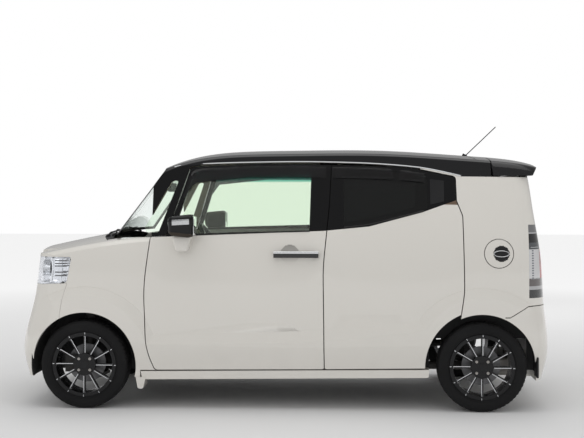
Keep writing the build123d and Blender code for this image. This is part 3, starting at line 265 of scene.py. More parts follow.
# ---- Finishes -------------------------------------------------------------------------------------
@dataclass(frozen=True)
class Finish:
    """A surface finish, made into one material on first use."""

    name: str
    colour: Colour
    roughness: float = 0.5
    metallic: float = 0.0
    coat: float = 0.0
    shine: float = 0.5

    def material(self) -> bpy.types.Material:
        """Returns the finish's material."""
        made = bpy.data.materials.get(self.name)
        if made:
            return made
        made = bpy.data.materials.new(self.name)
        made.use_nodes = True
        tree = made.node_tree
        shader = next(n for n in tree.nodes if n.type == "BSDF_PRINCIPLED")
        shader.inputs["Base Color"].default_value = self.colour
        shader.inputs["Roughness"].default_value = self.roughness
        shader.inputs["Metallic"].default_value = self.metallic
        shader.inputs["Coat Weight"].default_value = self.coat
        shader.inputs["Specular IOR Level"].default_value = self.shine
        shader.inputs["Coat Roughness"].default_value = 0.04
        made.diffuse_color = self.colour
        place = tree.nodes.new("ShaderNodeTexCoord")
        self.dress(tree, shader, place.outputs["Object"])
        return made

    def dress(self, tree: bpy.types.NodeTree, shader: bpy.types.Node, place: bpy.types.NodeSocket) -> None:
        """Adds the finish's own nodes; the plain finish varies its roughness a little.

        Args:
            tree: the material's tree.
            shader: its Principled BSDF.
            place: object coordinates, in metres.
        """
        cloud = noise(tree, place, 14.0, 4.0)
        spread = ramp(tree, cloud.outputs["Fac"], 0.3, 0.7, max(self.roughness - 0.06, 0.02),
                      min(self.roughness + 0.08, 1.0))
        link_in(tree, spread, shader.inputs["Roughness"])

    def use(self, tree: bpy.types.NodeTree, effect: Effect, place: bpy.types.NodeSocket,
            **values: float | Colour) -> bpy.types.Node:
        """Places a shared effect in a tree with its own values and returns the group node."""
        node = tree.nodes.new("ShaderNodeGroup")
        node.node_tree = effect.group()
        link_in(tree, place, node.inputs["Vector"])
        for label, value in values.items():
            node.inputs[label].default_value = value
        return node

    def bump(self, tree: bpy.types.NodeTree, shader: bpy.types.Node, height: bpy.types.NodeSocket,
             depth: float, strength: float = 0.5) -> None:
        """Feeds a height into the shader's normal, with its depth in metres."""
        node = tree.nodes.new("ShaderNodeBump")
        node.inputs["Strength"].default_value = strength
        node.inputs["Distance"].default_value = depth
        link_in(tree, height, node.inputs["Height"])
        link_in(tree, node.outputs["Normal"], shader.inputs["Normal"])


@dataclass(frozen=True)
class Paint(Finish):
    """Sprayed body paint under clear coat, with road film low down.

    lining is the trim colour on faces further in than lining_y from the car's middle plane.
    """

    flake: float = 0.15
    lining: Colour | None = None
    lining_y: float = 0.0

    def dress(self, tree: bpy.types.NodeTree, shader: bpy.types.Node, place: bpy.types.NodeSocket) -> None:
        """Flakes, a film of dust, and the inner lining by its place."""
        peel = self.use(tree, OrangePeel(), place, Base=self.colour, Amount=self.flake)
        film = self.use(tree, RoadFilm(), place, Amount=0.16)
        link_in(tree, peel.outputs["Colour"], film.inputs["Base"])
        colour = film.outputs["Colour"]
        rough = maths(tree, "ADD", film.outputs["Roughness"], self.roughness)
        if self.lining:
            axes = split_axes(tree, place)
            inside = ramp(tree, maths(tree, "ABSOLUTE", axes.outputs["Y"]), self.lining_y + 0.0005,
                          self.lining_y - 0.0005)
            colour = blend(tree, inside, colour, self.lining)
            rough = maths(tree, "ADD", rough, maths(tree, "MULTIPLY", inside, 0.35))
            link_in(tree, maths(tree, "SUBTRACT", 1.0, inside), shader.inputs["Coat Weight"])
        link_in(tree, colour, shader.inputs["Base Color"])
        link_in(tree, rough, shader.inputs["Roughness"])
        self.bump(tree, shader, peel.outputs["Height"], 0.0002, 0.08)


@dataclass(frozen=True)
class Moulded(Finish):
    """Grained moulded plastic."""

    scale: float = 900.0
    depth: float = 0.0003

    def dress(self, tree: bpy.types.NodeTree, shader: bpy.types.Node, place: bpy.types.NodeSocket) -> None:
        """Grain in colour and height."""
        grain = self.use(tree, Grain(), place, Base=self.colour, Scale=self.scale)
        link_in(tree, grain.outputs["Colour"], shader.inputs["Base Color"])
        self.bump(tree, shader, grain.outputs["Height"], self.depth, 0.35)


@dataclass(frozen=True)
class Cloth(Finish):
    """Woven seat cloth."""

    yarn: Colour = (0.2, 0.12, 0.07, 1.0)
    pitch: float = 0.0022

    def dress(self, tree: bpy.types.NodeTree, shader: bpy.types.Node, place: bpy.types.NodeSocket) -> None:
        """The weave in colour and height, with sheen."""
        shader.inputs["Sheen Weight"].default_value = 0.35
        weave = self.use(tree, Weave(), place, Base=self.colour, Yarn=self.yarn, Pitch=self.pitch)
        link_in(tree, weave.outputs["Colour"], shader.inputs["Base Color"])
        self.bump(tree, shader, weave.outputs["Height"], 0.0006, 0.6)


@dataclass(frozen=True)
class Pane(Finish):
    """Window or lens glass, tinted through its colour."""

    transmission: float = 1.0

    def dress(self, tree: bpy.types.NodeTree, shader: bpy.types.Node, place: bpy.types.NodeSocket) -> None:
        """A whisper of dust in the roughness, and the tint as the base colour."""
        shader.inputs["Transmission Weight"].default_value = self.transmission
        shader.inputs["IOR"].default_value = 1.45
        cloud = noise(tree, place, 6.0, 4.0)
        link_in(tree, ramp(tree, cloud.outputs["Fac"], 0.4, 0.9, self.roughness, self.roughness + 0.03),
                shader.inputs["Roughness"])


@dataclass(frozen=True)
class Metal(Finish):
    """Bare, machined or plated metal with a faint directional grain."""

    streak: float = 60.0

    def dress(self, tree: bpy.types.NodeTree, shader: bpy.types.Node, place: bpy.types.NodeSocket) -> None:
        """Roughness that varies with the grain."""
        cloud = noise(tree, place, self.streak, 5.0)
        link_in(tree, ramp(tree, cloud.outputs["Fac"], 0.25, 0.75, max(self.roughness - 0.05, 0.02),
                           self.roughness + 0.08),
                shader.inputs["Roughness"])


@dataclass(frozen=True)
class Lined(Paint):
    """Paint outside and trim cloth on the faces that look into the cabin."""

    cloth: Colour = (0.045, 0.036, 0.028, 1.0)

    def dress(self, tree: bpy.types.NodeTree, shader: bpy.types.Node, place: bpy.types.NodeSocket) -> None:
        """The trim by the surface's direction: towards the middle plane, or down."""
        geometry = tree.nodes.new("ShaderNodeNewGeometry")
        normal = split_axes(tree, geometry.outputs["Normal"])
        hand = maths(tree, "SIGN", split_axes(tree, place).outputs["Y"])
        inward = maths(tree, "MULTIPLY", maths(tree, "MULTIPLY", normal.outputs["Y"], hand), -1.0)
        inside = maths(tree, "MAXIMUM", ramp(tree, inward, 0.30, 0.36), ramp(tree, normal.outputs["Z"], -0.30, -0.36))
        link_in(tree, blend(tree, inside, self.colour, self.cloth), shader.inputs["Base Color"])
        link_in(tree, ramp(tree, inside, 0.0, 1.0, self.roughness, 0.85), shader.inputs["Roughness"])
        if self.coat:
            link_in(tree, ramp(tree, inside, 0.0, 1.0, self.coat, 0.0), shader.inputs["Coat Weight"])


@dataclass(frozen=True)
class Banded(Pane):
    """Tinted glass with a deeper band along its top."""

    band: Colour = (0.16, 0.52, 0.42, 1.0)
    band_z: float = 1.462

    def dress(self, tree: bpy.types.NodeTree, shader: bpy.types.Node, place: bpy.types.NodeSocket) -> None:
        """The band by height."""
        shader.inputs["IOR"].default_value = 1.45
        high = ramp(tree, split_axes(tree, place).outputs["Z"], self.band_z - 0.006, self.band_z + 0.006)
        link_in(tree, blend(tree, high, self.colour, self.band), shader.inputs["Base Color"])
        shader.inputs["Transmission Weight"].default_value = 1.0


class Finishes:
    """Every finish on the car, by what it is on."""

    PEARL = Paint("pearl_paint", (0.72, 0.695, 0.645, 1.0), 0.28, 0.0, 1.0, flake=0.2)
    PEARL_DOOR = Paint("pearl_door", (0.72, 0.695, 0.645, 1.0), 0.28, 0.0, 1.0, flake=0.2,
                       lining=(0.13, 0.085, 0.055, 1.0), lining_y=0.652)
    BLACK_PAINT = Paint("black_roof_paint", (0.004, 0.004, 0.005, 1.0), 0.12, 0.0, 0.35, 0.4, flake=0.02)
    GLOSS_BLACK = Lined("gloss_black_frame", (0.0035, 0.0035, 0.004, 1.0), 0.16, 0.0, 0.0, 0.32, flake=0.0)
    PILLAR = Lined("a_pillar_paint", (0.0035, 0.0035, 0.004, 1.0), 0.16, 0.0, 0.0, 0.32, flake=0.0,
                   cloth=(0.34, 0.29, 0.20, 1.0))
    SATIN_BLACK = Moulded("satin_black_plastic", (0.011, 0.011, 0.012, 1.0), 0.48, shine=0.3, scale=1200.0,
                          depth=0.00015)
    RUBBER = Moulded("weather_strip", (0.012, 0.012, 0.012, 1.0), 0.75, scale=700.0)
    TYRE = Moulded("tyre_rubber", (0.0065, 0.0065, 0.007, 1.0), 0.7, shine=0.22, scale=500.0, depth=0.0002)
    CHROME = Metal("chrome_plate", (0.78, 0.79, 0.80, 1.0), 0.07, 1.0)
    SATIN_CHROME = Metal("satin_chrome", (0.62, 0.63, 0.64, 1.0), 0.24, 1.0)
    MACHINED = Metal("machined_face", (0.70, 0.71, 0.73, 1.0), 0.2, 1.0, streak=220.0)
    RIM_BLACK = Paint("rim_black", (0.005, 0.005, 0.006, 1.0), 0.22, 0.0, 0.0, 0.35, flake=0.0)
    IRON = Metal("black_iron", (0.05, 0.048, 0.046, 1.0), 0.6, 0.4, streak=120.0)
    STEEL = Metal("exhaust_steel", (0.42, 0.40, 0.38, 1.0), 0.38, 1.0, streak=150.0)
    SEALER = Moulded("underbody_sealer", (0.035, 0.035, 0.036, 1.0), 0.85, scale=260.0, depth=0.0012)
    CASTING = Metal("cast_block", (0.20, 0.20, 0.205, 1.0), 0.55, 0.7, streak=200.0)
    GREEN_GLASS = Banded("green_tinted_glass", (0.86, 0.95, 0.84, 1.0), 0.0)
    CLEAR_GLASS = Pane("windscreen_glass", (0.88, 0.96, 0.92, 1.0), 0.0)
    PRIVACY_GLASS = Pane("privacy_glass", (0.045, 0.05, 0.048, 1.0), 0.0)
    SMOKE = Pane("smoked_visor", (0.10, 0.10, 0.105, 1.0), 0.02)
    LENS = Pane("clear_lens", (0.97, 0.98, 1.0, 1.0), 0.0)
    RED_LENS = Pane("red_lens", (0.55, 0.012, 0.02, 1.0), 0.03, transmission=0.55)
    REFLECTOR = Metal("lamp_reflector", (0.72, 0.73, 0.75, 1.0), 0.12, 1.0)
    LAMP_BLACK = Finish("lamp_bezel", (0.02, 0.02, 0.022, 1.0), 0.3)
    MIRROR = Metal("mirror_face", (0.85, 0.87, 0.88, 1.0), 0.02, 1.0)
    SEAT_CLOTH = Cloth("seat_cloth", (0.20, 0.115, 0.065, 1.0), 0.9, yarn=(0.11, 0.06, 0.035, 1.0))
    DASH = Moulded("dashboard_grain", (0.035, 0.031, 0.029, 1.0), 0.62, scale=800.0)
    DASH_TAN = Moulded("tan_panel", (0.21, 0.13, 0.075, 1.0), 0.5, scale=800.0)
    LEATHER = Moulded("wheel_leather", (0.03, 0.027, 0.025, 1.0), 0.5, scale=700.0)
    SCREEN = Finish("dead_screen", (0.01, 0.011, 0.013, 1.0), 0.08, 0.0, 1.0)
    CARPET = Moulded("carpet", (0.05, 0.042, 0.037, 1.0), 0.95, scale=420.0, depth=0.002)
    PLATE = Finish("blank_plate", (0.72, 0.71, 0.52, 1.0), 0.45)


# ---- Modelling tools ------------------------------------------------------------------------------
def alone(obj: bpy.types.Object) -> None:
    """Makes obj the only selected object, and the active one."""
    if bpy.context.object and bpy.context.object.mode != "OBJECT":
        bpy.ops.object.mode_set(mode="OBJECT")
    bpy.ops.object.select_all(action="DESELECT")
    obj.select_set(True)
    bpy.context.view_layer.objects.active = obj


class Blank:
    """A mesh on the bench, shaped by operators in edit mode and finished by modifiers."""

    def __init__(self, obj: bpy.types.Object) -> None:
        """Takes hold of an object whose place goes into its mesh."""
        self.obj = obj
        alone(obj)
        bpy.ops.object.transform_apply(location=True, rotation=True, scale=True)

    @classmethod
    def block(cls, low: Point, high: Point) -> "Blank":
        """A box primitive between two corners."""
        alone_none()
        centre = [(a + b) / 2 for a, b in zip(low, high)]
        bpy.ops.mesh.primitive_cube_add(size=1, location=centre, scale=[b - a for a, b in zip(low, high)])
        return cls(bpy.context.object)

    @classmethod
    def drum(cls, centre: Point, radius: float, depth: float, axis: str = "Y", vertices: int = 48) -> "Blank":
        """A cylinder primitive along an axis of the car."""
        alone_none()
        turn = {"X": (0, math.pi / 2, 0), "Y": (math.pi / 2, 0, 0), "Z": (0, 0, 0)}[axis]
        bpy.ops.mesh.primitive_cylinder_add(vertices=vertices, radius=radius, depth=depth, location=centre,
                                            rotation=turn)
        return cls(bpy.context.object)

    @classmethod
    def hoop(cls, centre: Point, radius: float, section: float, axis: str = "Y", around: int = 64) -> "Blank":
        """A torus primitive about an axis of the car."""
        alone_none()
        turn = {"X": (0, math.pi / 2, 0), "Y": (math.pi / 2, 0, 0), "Z": (0, 0, 0)}[axis]
        bpy.ops.mesh.primitive_torus_add(major_radius=radius, minor_radius=section, major_segments=around,
                                         minor_segments=12, location=centre, rotation=turn)
        return cls(bpy.context.object)

    @classmethod
    def sheet(cls, across: int, along: int, place: Callable[[float, float], Point]) -> "Blank":
        """A grid primitive whose points go where place(u, v) says, with u and v from 0 to 1."""
        alone_none()
        bpy.ops.mesh.primitive_grid_add(x_subdivisions=across, y_subdivisions=along, size=1)
        blank = cls(bpy.context.object)
        for vertex in blank.obj.data.vertices:
            vertex.co = place(vertex.co.x + 0.5, vertex.co.y + 0.5)
        return blank

    @classmethod
    def copy_of(cls, source: bpy.types.Object) -> "Blank":
        """A merged copy of a CAD node's mesh."""
        alone_none()
        twin = bpy.data.objects.new(f"{source.name}_copy", source.data.copy())
        bpy.context.scene.collection.objects.link(twin)
        twin.data.materials.clear()
        blank = cls(twin)
        blank.edit(lambda: bpy.ops.mesh.remove_doubles(threshold=0.00002))
        return blank

    def edit(self, step: Callable[[], object], pick: Callable[[Vector, Vector], bool] | None = None) -> "Blank":
        """Runs one edit-mode step on the picked faces, or on all of them.

        Args:
            step: the operator call.
            pick: takes a face's centre and normal.
        """
        alone(self.obj)
        bpy.ops.object.mode_set(mode="EDIT")
        bpy.ops.mesh.select_mode(type="FACE")
        bpy.ops.mesh.select_all(action="DESELECT" if pick else "SELECT")
        if pick:
            mesh = bmesh.from_edit_mesh(self.obj.data)
            for face in mesh.faces:
                face.select_set(pick(face.calc_center_median(), face.normal))
            bmesh.update_edit_mesh(self.obj.data)
        step()
        bpy.ops.object.mode_set(mode="OBJECT")
        return self

    def inset(self, thickness: float, depth: float, pick: Callable[[Vector, Vector], bool]) -> "Blank":
        """Insets picked faces and sinks or raises them."""
        return self.edit(lambda: bpy.ops.mesh.inset(thickness=thickness, depth=depth), pick)

    def raise_faces(self, offset: Point, pick: Callable[[Vector, Vector], bool], scale: float = 1.0) -> "Blank":
        """Extrudes picked faces by an offset, and may scale their far end."""
        def step() -> None:
            """Extrudes the picked faces and scales them."""
            bpy.ops.mesh.extrude_region_move(TRANSFORM_OT_translate={"value": offset})
            if scale != 1.0:
                bpy.ops.transform.resize(value=(scale, scale, scale))
        return self.edit(step, pick)

    def keep(self, pick: Callable[[Vector, Vector], bool]) -> "Blank":
        """Deletes every face that isn't picked."""
        return self.edit(lambda: bpy.ops.mesh.delete(type="FACE"), lambda c, n: not pick(c, n))

    def modify(self, kind: str, **values: object) -> "Blank":
        """Adds a modifier with its values and applies it."""
        alone(self.obj)
        made = self.obj.modifiers.new(kind.lower(), kind)
        for name, value in values.items():
            setattr(made, name, value)
        bpy.ops.object.modifier_apply(modifier=made.name)
        return self

    def round_edges(self, width: float, segments: int = 3, angle: float = 30.0) -> "Blank":
        """Rounds the edges sharper than an angle in degrees."""
        return self.modify("BEVEL", width=width, segments=segments, limit_method="ANGLE",
                           angle_limit=math.radians(angle))

    def smooth(self, angle: float = 35.0) -> "Blank":
        """Smooth shading, with sharp edges over an angle in degrees."""
        alone(self.obj)
        bpy.ops.object.shade_smooth_by_angle(angle=math.radians(angle))
        return self

    def outward(self) -> "Blank":
        """Turns every face outwards."""
        return self.edit(lambda: bpy.ops.mesh.normals_make_consistent(inside=False))

    def turn(self, degrees: float, axis: Point, about: Point) -> "Blank":
        """Turns the mesh about a line."""
        self.obj.data.transform(Matrix.Translation(about) @ Matrix.Rotation(math.radians(degrees), 4, Vector(axis)) @
                                Matrix.Translation(-Vector(about)))
        return self

    def twin(self, change: Matrix) -> "Blank":
        """A copy with its own mesh, changed by a matrix."""
        copy = self.obj.copy()
        copy.data = self.obj.data.copy()
        bpy.context.scene.collection.objects.link(copy)
        copy.data.transform(change)
        if change.determinant() < 0:
            copy.data.flip_normals()
        return Blank(copy)

    def join(self, others: Iterable["Blank"]) -> "Blank":
        """Joins other blanks into this one."""
        alone(self.obj)
        for other in others:
            other.obj.select_set(True)
        bpy.context.view_layer.objects.active = self.obj
        bpy.ops.object.join()
        return self

    def finish(self, name: str, finish: Finish, body: str = "root", slot: str = "black_trim",
               replaces: Iterable[str] = ()) -> bpy.types.Object:
        """Names and dresses the piece, and sets what it rides on.

        Args:
            name: the piece's name.
            finish: what it is finished with.
            body: the CAD body it rides on.
            slot: the record's material slot; not used.
            replaces: CAD nodes that it stands for.

        Returns:
            The finished object.
        """
        self.obj.name = name
        self.obj.data.materials.clear()
        self.obj.data.materials.append(finish.material())
        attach(self.obj, body)
        if replaces:
            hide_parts(*replaces)
        log.info("%s: %d faces on %s", name, len(self.obj.data.polygons), body)
        return self.obj


def alone_none() -> None:
    """Leaves edit mode and selects nothing."""
    if bpy.context.object and bpy.context.object.mode != "OBJECT":
        bpy.ops.object.mode_set(mode="OBJECT")
    bpy.ops.object.select_all(action="DESELECT")


MIRROR_Y = Matrix.Scale(-1, 4, (0, 1, 0))


class Skin:
    """The outer surface of some CAD nodes, on which trim is laid."""

    def __init__(self, nodes: dict[str, bpy.types.Object], names: Iterable[str]) -> None:
        """Gathers the nodes' triangles into one search tree."""
        points, faces = [], []
        for name in names:
            mesh = nodes[name].data
            start = len(points)
            points += [v.co.copy() for v in mesh.vertices]
            faces += [[start + i for i in p.vertices] for p in mesh.polygons]
        self.tree = BVHTree.FromPolygons(points, faces)

    def from_side(self, x: float, z: float, lift: float = 0.0, side: Side = Side.LEFT, fallback: float = 0.65) -> Point:
        """The skin's point at x and z, met from the car's side, with lift metres of stand-off."""
        hit, _, _, _ = self.tree.ray_cast(Vector((x, side.value * 2.0, z)), Vector((0, -side.value, 0)))
        y = hit.y if hit else side.value * fallback
        return (x, y + side.value * lift, z)

    def from_front(self, y: float, z: float, lift: float = 0.0, fallback: float = 1.6) -> Point:
        """The skin's point at y and z, met from ahead."""
        hit, _, _, _ = self.tree.ray_cast(Vector((3.0, y, z)), Vector((-1, 0, 0)))
        return ((hit.x if hit else fallback) + lift, y, z)

    def from_back(self, y: float, z: float, lift: float = 0.0, fallback: float = -1.6) -> Point:
        """The skin's point at y and z, met from behind."""
        hit, _, _, _ = self.tree.ray_cast(Vector((-3.0, y, z)), Vector((1, 0, 0)))
        return ((hit.x if hit else fallback) - lift, y, z)

    def from_above(self, x: float, y: float, lift: float = 0.0, fallback: float = 1.6) -> Point:
        """The skin's point at x and y, met from above."""
        hit, _, _, _ = self.tree.ray_cast(Vector((x, y, 3.0)), Vector((0, 0, -1)))
        return (x, y, (hit.z if hit else fallback) + lift)


def along(points: list[tuple[float, float]], share: float) -> tuple[float, float]:
    """The point at a share of a run of 2-D points, by length."""
    lengths = [math.dist(a, b) for a, b in zip(points, points[1:])]
    left = share * sum(lengths)
    for (a, b), length in zip(zip(points, points[1:]), lengths):
        if left <= length or b == points[-1]:
            t = min(left / length, 1.0)
            return (a[0] + (b[0] - a[0]) * t, a[1] + (b[1] - a[1]) * t)
        left -= length
    return points[-1]


def ribbon(upper: list[tuple[float, float]], lower: list[tuple[float, float]], lay: Callable[[float, float], Point],
           steps: int = 24, rows: int = 2) -> Blank:
    """A strip between two lines on a side view, laid on the skin."""
    def place(u: float, v: float) -> Point:
        """A point of the strip."""
        a, b = along(lower, u), along(upper, u)
        return lay(a[0] + (b[0] - a[0]) * v, a[1] + (b[1] - a[1]) * v)
    return Blank.sheet(steps, rows, place)


def tube(points: list[Point], radius: float, closed: bool = False, resolution: int = 4) -> Blank:
    """A smooth round tube through points, made a mesh."""
    alone_none()
    curve = bpy.data.curves.new("tube", "CURVE")
    curve.dimensions = "3D"
    curve.bevel_depth = radius
    curve.bevel_resolution = resolution
    curve.use_fill_caps = True
    spline = curve.splines.new("NURBS")
    spline.points.add(len(points) - 1)
    for slot, point in zip(spline.points, points):
        slot.co = (*point, 1.0)
    spline.order_u = 3
    spline.use_endpoint_u = not closed
    spline.use_cyclic_u = closed
    obj = bpy.data.objects.new("tube", curve)
    bpy.context.scene.collection.objects.link(obj)
    alone(obj)
    bpy.ops.object.convert(target="MESH")
    return Blank(bpy.context.object).outward().smooth(50)


# ---- Wheels ---------------------------------------------------------------------------------------
@dataclass(frozen=True)
class RimFinish(Paint):
    """Black rim paint with machined spoke faces and lip, and the bare disc behind, told apart by place; the disc's dark
    grey is partly painted shade.
    """

    centre: Point = (0.0, 0.645, 0.281)
    barrel_y: float = 0.7100
    disc_y: float = 0.6402

    def dress(self, tree: bpy.types.NodeTree, shader: bpy.types.Node, place: bpy.types.NodeSocket) -> None:
        """Masks by distance from the wheel's axis and by how far out the surface lies."""
        axes = split_axes(tree, place)
        dx = maths(tree, "SUBTRACT", axes.outputs["X"], self.centre[0])
        dz = maths(tree, "SUBTRACT", axes.outputs["Z"], self.centre[2])
        radius = maths(tree, "SQRT", maths(tree, "ADD", maths(tree, "MULTIPLY", dx, dx),
                                           maths(tree, "MULTIPLY", dz, dz)))
        out = maths(tree, "ABSOLUTE", axes.outputs["Y"])
        disc = maths(tree, "MULTIPLY", ramp(tree, out, self.disc_y, self.disc_y - 0.0004),
                     ramp(tree, radius, 0.1255, 0.125))
        disc = maths(tree, "MULTIPLY", disc, ramp(tree, radius, 0.0635, 0.064))
        barrel = maths(tree, "MULTIPLY", ramp(tree, out, self.barrel_y, self.barrel_y - 0.0004),
                       ramp(tree, radius, 0.176, 0.178))
        bare = maths(tree, "MAXIMUM", barrel, disc)
        # The disc's dark grey is partly the iron's own tone and partly painted shade deep inside the wheel; the noise
        # is its machining marks.
        cut = noise(tree, place, 300.0, 2.0)
        shade = blend(tree, cut.outputs["Fac"], (0.13, 0.13, 0.135, 1.0), (0.20, 0.20, 0.205, 1.0))
        shade = blend(tree, barrel, shade, (0.30, 0.30, 0.31, 1.0))
        link_in(tree, blend(tree, bare, self.colour, shade), shader.inputs["Base Color"])
        link_in(tree, bare, shader.inputs["Metallic"])
        link_in(tree, maths(tree, "ADD", 0.25, maths(tree, "MULTIPLY", disc, 0.15)), shader.inputs["Roughness"])


@dataclass
class Wheel:
    """One road wheel: a treaded tyre over the CAD one, and what dresses its rim."""

    nodes: dict[str, bpy.types.Object]
    end: str
    side: Side
    axle_x: float
    axle_z: float = 0.281
    middle_y: float = 0.645
    groove_depth: float = 0.007
    pitches: int = 60
    steps_a_pitch: int = 4
    bolt_circle_r: float = 0.050
    hub_face_y: float = 0.711
    spokes: int = 12
    half_step: int = 0
    edge_offset: float = 0.0042
    edge_width: float = 0.0042

    def centre(self) -> Point:
        """The wheel's centre."""
        return (self.axle_x, self.side.value * self.middle_y, self.axle_z)

    def build(self) -> None:
        """Makes the tyre and dresses the rim."""
        body = f"{self.end}_wheel_{self.side.word}"
        node = f"{self.end}_tyre_{self.side.word}"
        self.tyre().finish(f"tyre_{self.end}_{self.side.word}", Finishes.TYRE, body, "tyre", [node])
        rim = self.nodes[f"{self.end}_rim_{self.side.word}"]
        dress(rim, RimFinish(f"rim_finish_{self.end}_{self.side.word}", Finishes.RIM_BLACK.colour, 0.22, 0.0, 0.0, 0.35,
                             flake=0.0, centre=self.centre()))
        self.spoke_edges().finish(f"spoke_edges_{self.end}_{self.side.word}", Finishes.MACHINED, body, "chrome")
        self.nuts().finish(f"wheel_nuts_{self.end}_{self.side.word}", Finishes.STEEL, body, "chrome")
        self.cap().finish(f"centre_cap_{self.end}_{self.side.word}", Finishes.SATIN_BLACK, body, "black_trim")
        self.valve().finish(f"valve_{self.end}_{self.side.word}", Finishes.RUBBER, body, "black_trim")

    def section(self) -> list[tuple[float, float]]:
        """The tyre's section as (radius, distance from its middle plane), from one bead to the other."""
        half = [(0.1915, 0.0585), (0.2035, 0.0645), (0.2085, 0.0735), (0.2125, 0.0775), (0.2155, 0.0775),
                (0.2175, 0.0760),
                (0.2300, 0.0800), (0.2420, 0.0818), (0.2545, 0.0800), (0.2640, 0.0765), (0.2715, 0.0710),
                (0.2768, 0.0640), (0.2788, 0.0560), (0.2790, 0.0520)]
        depth = self.groove_depth
        tread = [(0.2792, 0.0460), (0.2792 - depth, 0.0450), (0.2792 - depth, 0.0390), (0.2798, 0.0380),
                 (0.2806, 0.0190), (0.2806 - depth, 0.0180), (0.2806 - depth, 0.0120), (0.2808, 0.0110), (0.2810, 0.0)]
        right = half + tread
        return right + [(r, -y) for r, y in reversed(right[:-1])]

    def tyre(self) -> Blank:
        """The tyre, spun from its section, with cross grooves pressed into the shoulders and ribs."""
        alone_none()
        bpy.ops.mesh.primitive_plane_add(size=0.01)
        blank = Blank(bpy.context.object)
        cx, cy, cz = self.centre()
        alone(blank.obj)
        bpy.ops.object.mode_set(mode="EDIT")
        mesh = bmesh.from_edit_mesh(blank.obj.data)
        mesh.clear()
        run = [mesh.verts.new((cx, cy + y, cz + r)) for r, y in self.section()]
        for first, second in zip(run, run[1:]):
            mesh.edges.new((first, second))
        bmesh.update_edit_mesh(blank.obj.data)
        bpy.ops.mesh.select_all(action="SELECT")
        steps = self.pitches * self.steps_a_pitch
        bpy.ops.mesh.spin(steps=steps, angle=2 * math.pi, center=(cx, cy, cz), axis=(0, 1, 0))
        bpy.ops.mesh.select_all(action="SELECT")
        bpy.ops.mesh.remove_doubles(threshold=0.00005)
        bpy.ops.mesh.normals_make_consistent(inside=False)
        bpy.ops.object.mode_set(mode="OBJECT")
        self.press_grooves(blank.obj.data)
        return blank.smooth(28)

    def press_grooves(self, mesh: bpy.types.Mesh) -> None:
        """Sinks one spoke of points a pitch on the shoulders, and every other one on the ribs."""
        cx, cy, cz = self.centre()
        pitch = 2 * math.pi / self.pitches
        for vertex in mesh.vertices:
            dx, dy, dz = vertex.co.x - cx, vertex.co.y - cy, vertex.co.z - cz
            radius = math.hypot(dx, dz)
            if radius < 0.2700:
                continue
            lag = 0.5 if dy > 0 else 0.0
            phase = (math.atan2(dz, dx) / pitch + lag) % 1.0
            shoulder = abs(dy) > 0.0465 and radius > 0.2705
            rib = 0.0185 < abs(dy) < 0.0385 and radius > 0.2790
            if phase < 0.2 and (shoulder or (rib and int((math.atan2(dz, dx) / pitch + lag) // 1) % 2 == 0)):
                sink = (radius - 0.0045) / radius
                vertex.co.x, vertex.co.z = cx + dx * sink, cz + dz * sink

    def spoke_edges(self) -> Blank:
        """The machined edge along one side of each of the twelve spokes, out over the rim's lip."""
        cx, _, cz = self.centre()
        profile = [(0.074, 0.7064), (0.120, 0.7066), (0.172, 0.7068), (0.184, 0.7110), (0.1925, 0.7163),
                   (0.2035, 0.7168)]
        strips = []
        for i in range(self.spokes):
            angle = 2 * math.pi * (i + 0.5 * self.half_step) / self.spokes
            ahead = Vector((math.cos(angle), 0.0, math.sin(angle)))
            across = Vector((-math.sin(angle), 0.0, math.cos(angle)))
            def place(u: float, v: float) -> Point:
                """A point of one machined edge."""
                radius, out = along(profile, u)
                spot = ahead * radius + across * (self.edge_offset + (v - 0.5) * self.edge_width)
                return (cx + spot.x, self.side.value * out, cz + spot.z)
            strip = Blank.sheet(16, 2, place)
            strip.modify("SOLIDIFY", thickness=0.0016, offset=0.0)
            strips.append(strip.outward())
        return strips[0].join(strips[1:]).smooth()

    def nuts(self) -> Blank:
        """Four hexagonal nuts in the rim's holes."""
        cx, _, cz = self.centre()
        y = self.side.value * (self.hub_face_y - 0.006)
        nuts = []
        for i in range(4):
            angle = math.radians(45 + 90 * i)
            at = (cx + self.bolt_circle_r * math.cos(angle), y, cz + self.bolt_circle_r * math.sin(angle))
            nut = Blank.drum(at, 0.0102, 0.018, "Y", 6).round_edges(0.0012, 2)
            out = self.side.value
            nut.raise_faces((0, out * 0.0001, 0), lambda c, n: n.y * out > 0.9, 0.75)
            nuts.append(nut)
        return nuts[0].join(nuts[1:]).smooth()

    def cap(self) -> Blank:
        """A plain domed cap over the hub's nut."""
        cx, _, cz = self.centre()
        out = self.side.value
        cap = Blank.drum((cx, out * (self.hub_face_y + 0.0005), cz), 0.027, 0.004, "Y", 48)
        cap.inset(0.004, 0.0008, lambda c, n: n.y * out > 0.9)
        cap.inset(0.008, 0.0012, lambda c, n: n.y * out > 0.9 and (c - Vector((cx, c.y, cz))).length < 0.01)
        return cap.round_edges(0.0006, 2).smooth()

    def valve(self) -> Blank:
        """The tyre's valve stem beside a spoke."""
        cx, _, cz = self.centre()
        out = self.side.value
        angle = math.radians(15)
        base = Vector((cx + 0.176 * math.cos(angle), out * 0.699, cz + 0.176 * math.sin(angle)))
        tip = base + Vector((-0.014 * math.cos(angle), out * 0.010, -0.014 * math.sin(angle)))
        return tube([tuple(base), tuple(base.lerp(tip, 0.5)), tuple(tip)], 0.0036)


def dress(node: bpy.types.Object, finish: Finish) -> None:
    """Gives a CAD node its finish in every material slot."""
    if not node.material_slots:
        node.data.materials.append(finish.material())
    for slot in node.material_slots:
        slot.material = finish.material()


